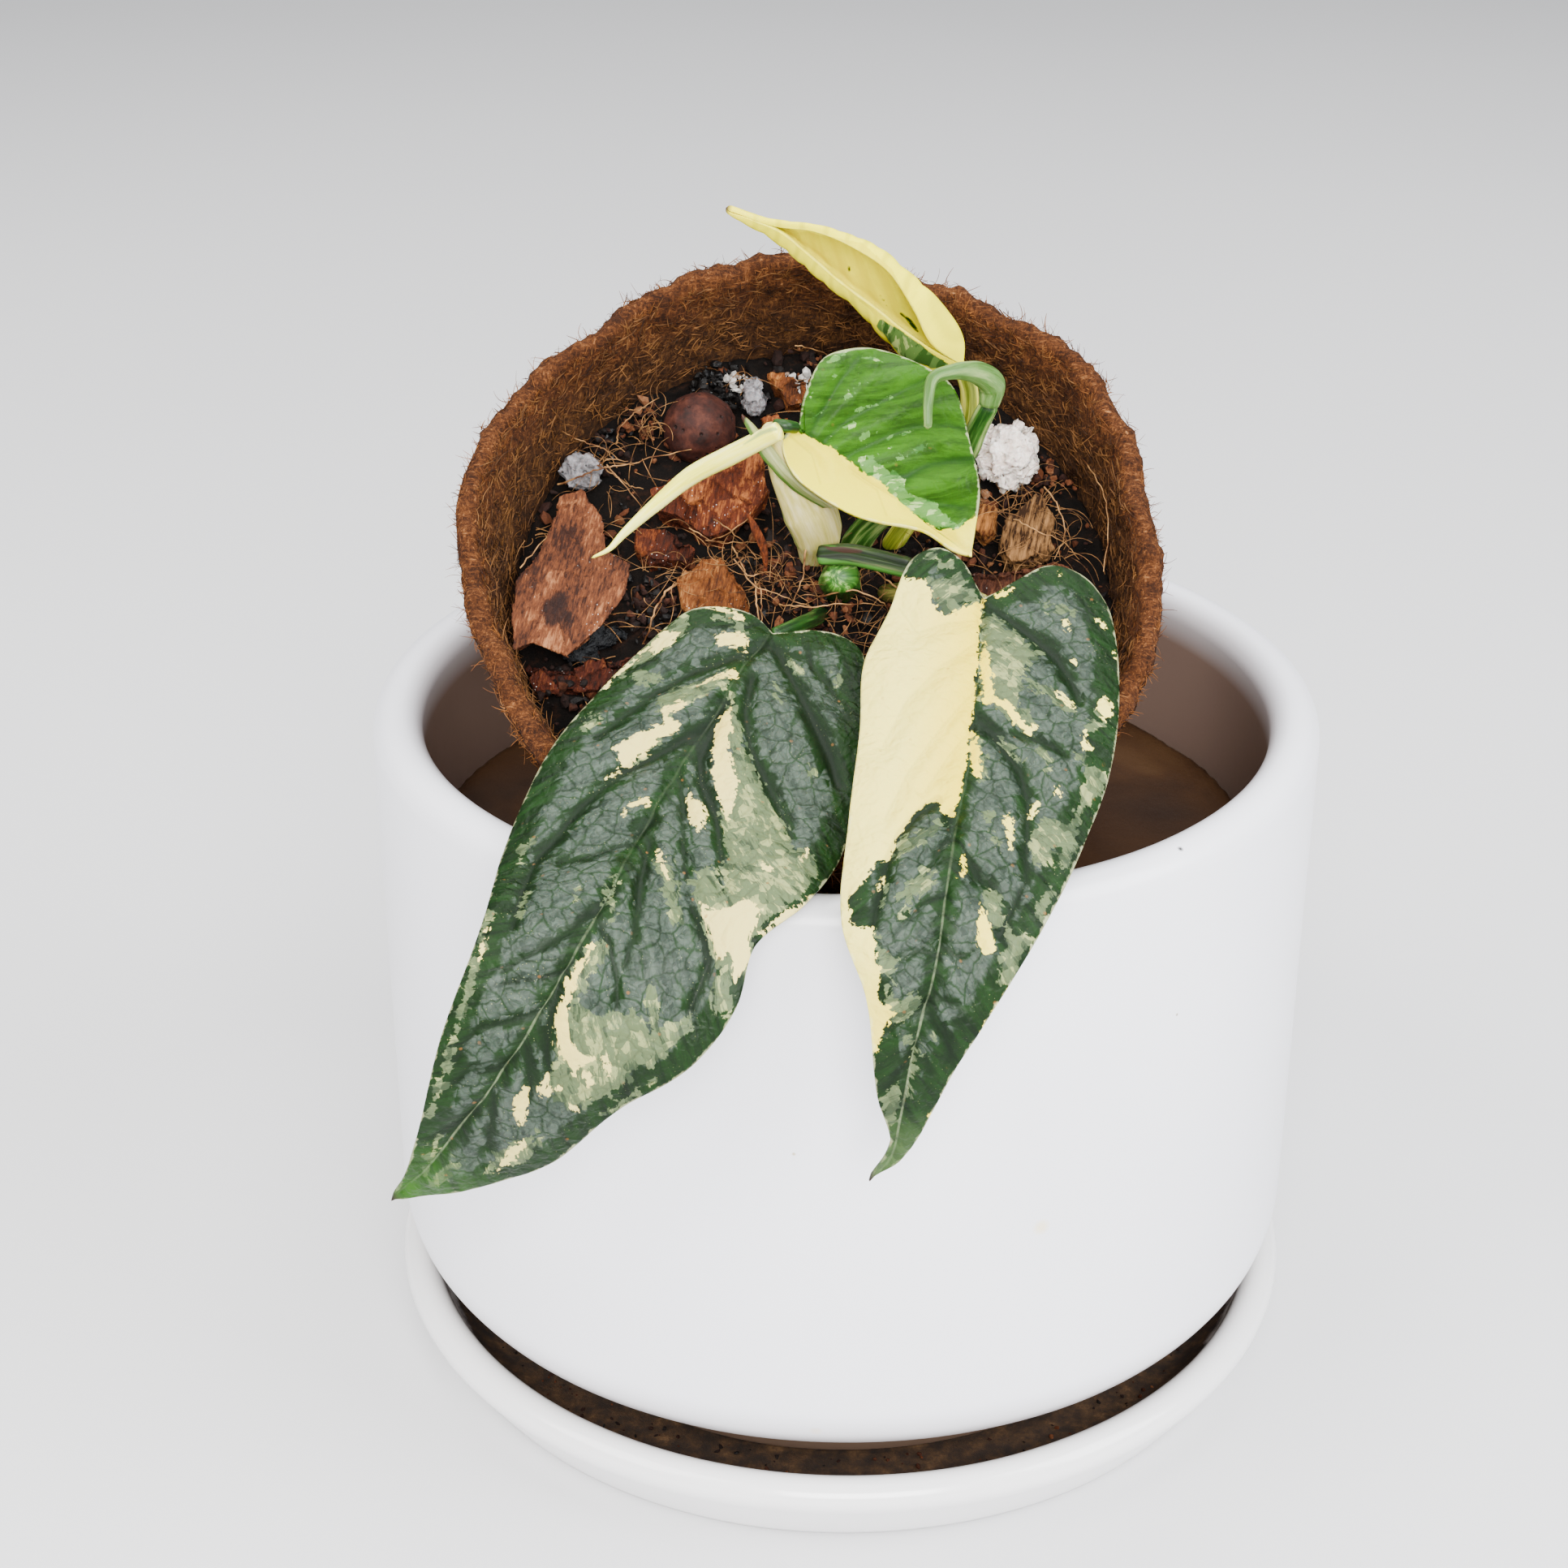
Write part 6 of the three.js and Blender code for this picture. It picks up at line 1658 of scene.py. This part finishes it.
def make_stalks():
    dark = stalk_finish("petiole_skin_dark", 0x0E240A, 0x1E4214, 0x506E34, cover=0.55)
    finishes = {
        "leaf_sheath": stalk_finish("sheath_skin_cream", 0xB8AC58, 0xCABE6C, 0xDCD094, cover=0.46,
                                    gloss=0.42, mark_tone=0x8A9A50),
        "rolled_leaf": stalk_finish("rolled_leaf_skin", 0xE6E034, 0xF4EE58, 0xF8F490, cover=0.45,
                                    gloss=0.36, mark_tone=0x9AA85A),
        "stem_node": stalk_finish("stem_skin", 0x1E4A10, 0x3C6A22, 0x8CAC5C, cover=0.52, run=0.05,
                                  mark_tone=0x14380C),
        "cut_petiole": stalk_finish("petiole_skin_cut", 0x0A1604, 0x1C300A, 0x4E5628, cover=0.54, gloss=0.5),
        "petiole_shoot": stalk_finish("petiole_skin_striped", 0x12360C, 0x345C1E, 0x90A45E),
        "petiole_upper": stalk_finish("petiole_skin_pale", 0x5A6616, 0x929A2E, 0xDCD65C),
        "petiole_middle": dark, "petiole_left": dark,
        "petiole_right": stalk_finish("petiole_skin_tan", 0x343E18, 0x5E5E28, 0x948C4A),
        "curled_shoot": stalk_finish("curled_shoot_skin", 0x385A1E, 0x547438, 0x7E9456, gloss=0.42)}
    for node, finish in finishes.items():
        make_stalk(node, finish)
    flap = stalk_finish("bract_skin_dry", 0x66703A, 0x848A54, 0xA8AC78, cover=0.46, gloss=0.5,
                        mark_tone=0x3E5A1C)
    thicken(make_piece("leaf_sheath_bract", sheet(12, 90, flap_fields), "leaf_sheath", flap),
            settings().plant.blade / 2)


def add_light(name, place, target, size, power, colour):
    data = bpy.data.lights.new(name, "AREA")
    data.shape = "RECTANGLE"
    data.size, data.size_y = size
    data.energy = power
    data.color = colour
    light = bpy.data.objects.new(name, data)
    light.location = place
    light.rotation_euler = (Vector(target) - Vector(place)).to_track_quat("-Z", "Y").to_euler()
    bpy.context.scene.collection.objects.link(light)


def make_stage():
    size = settings().stage
    shape = bmesh.new()
    bmesh.ops.create_grid(shape, x_segments=1, y_segments=1, size=4000)
    floor = made_object("floor", shape)
    floor.data.materials.append(matt_floor())
    bpy.context.scene.collection.objects.link(floor)
    power = size.key_power
    add_light("softbox_front", (0.1, -1.2, 0.8), (0, 0, 0.09), (0.8, 0.7), power, (1.0, 0.99, 0.98))
    add_light("softbox_left", (-0.9, -0.5, 1.1), (0, 0, 0.09), (0.9, 0.9), power * 0.5, (1.0, 0.98, 0.95))
    add_light("softbox_right", (0.95, -0.4, 0.85), (0, 0, 0.09), (0.7, 0.9), power * 0.5, (0.96, 0.98, 1.0))
    add_light("softbox_top", (0.0, 0.35, 1.3), (0, 0, 0.1), (1.0, 1.0), power * 0.4, (1.0, 1.0, 1.0))
    world = bpy.data.worlds.new("studio")
    world.use_nodes = True
    back = world.node_tree.nodes["Background"]
    back.inputs["Color"].default_value = linear(0xE9ECF2)
    back.inputs["Strength"].default_value = 0.35
    bpy.context.scene.world = world
    data = bpy.data.cameras.new("camera")
    data.sensor_width = 36
    data.lens = 36 * FOCAL_PIXELS / FRAME_PIXELS
    camera = bpy.data.objects.new("camera", data)
    camera.location = EYE * METRES
    camera.rotation_euler = (math.pi / 2 - DIP, 0, 0)
    bpy.context.scene.collection.objects.link(camera)
    bpy.context.scene.camera = camera


class PlanterOperator(bpy.types.Operator):
    """Make the glazed planter, its saucer and the fill under the coir pot"""
    bl_idname = "potted_plant.planter"
    bl_label = "Planter and saucer"

    def execute(self, context):
        make_planter()
        make_saucer()
        make_fill()
        return {"FINISHED"}


class CoirPotOperator(bpy.types.Operator):
    """Make the torn coir pot with its stray fibres"""
    bl_idname = "potted_plant.coir_pot"
    bl_label = "Coir pot"

    def execute(self, context):
        make_coir_pot()
        return {"FINISHED"}


class MixOperator(bpy.types.Operator):
    """Make the bed of potting mix with its crumbs and roots"""
    bl_idname = "potted_plant.mix"
    bl_label = "Potting mix"

    def execute(self, context):
        make_mix()
        return {"FINISHED"}


class ChipsOperator(bpy.types.Operator):
    """Make the pieces of bark, husk, clay, pumice and charcoal"""
    bl_idname = "potted_plant.chips"
    bl_label = "Bark and stones"

    def execute(self, context):
        make_bark()
        make_stones()
        return {"FINISHED"}


class StalksOperator(bpy.types.Operator):
    """Make the stem, the petioles, the sheath and the young shoots"""
    bl_idname = "potted_plant.stalks"
    bl_label = "Stalks"

    def execute(self, context):
        make_stalks()
        return {"FINISHED"}


class LeavesOperator(bpy.types.Operator):
    """Make the variegated leaves"""
    bl_idname = "potted_plant.leaves"
    bl_label = "Leaves"

    def execute(self, context):
        make_leaves()
        return {"FINISHED"}


class StageOperator(bpy.types.Operator):
    """Make the floor, the lights and the camera"""
    bl_idname = "potted_plant.stage"
    bl_label = "Stage"

    def execute(self, context):
        make_stage()
        return {"FINISHED"}


OPERATORS = (StageOperator, PlanterOperator, CoirPotOperator, MixOperator, ChipsOperator, StalksOperator,
             LeavesOperator)


class PottedPlantPanel(bpy.types.Panel):
    """Lists the pieces of the potted plant"""
    bl_idname = "VIEW3D_PT_potted_plant"
    bl_label = "Potted plant"
    bl_space_type = "VIEW_3D"
    bl_region_type = "UI"
    bl_category = "Potted plant"

    def draw(self, context):
        for operator in OPERATORS:
            self.layout.operator(operator.bl_idname)


CLASSES = (PlanterSettings, PotSettings, MixSettings, PlantSettings, StageSettings, Settings, *OPERATORS,
           PottedPlantPanel)


def register():
    for entry in CLASSES:
        bpy.utils.register_class(entry)
    bpy.types.Scene.potted_plant = bpy.props.PointerProperty(type=Settings)


def unregister():
    del bpy.types.Scene.potted_plant
    for entry in reversed(CLASSES):
        bpy.utils.unregister_class(entry)


def main():
    register()
    for operator in OPERATORS:
        group, name = operator.bl_idname.split(".")
        getattr(getattr(bpy.ops, group), name)()


if __name__ == "__main__":
    main()
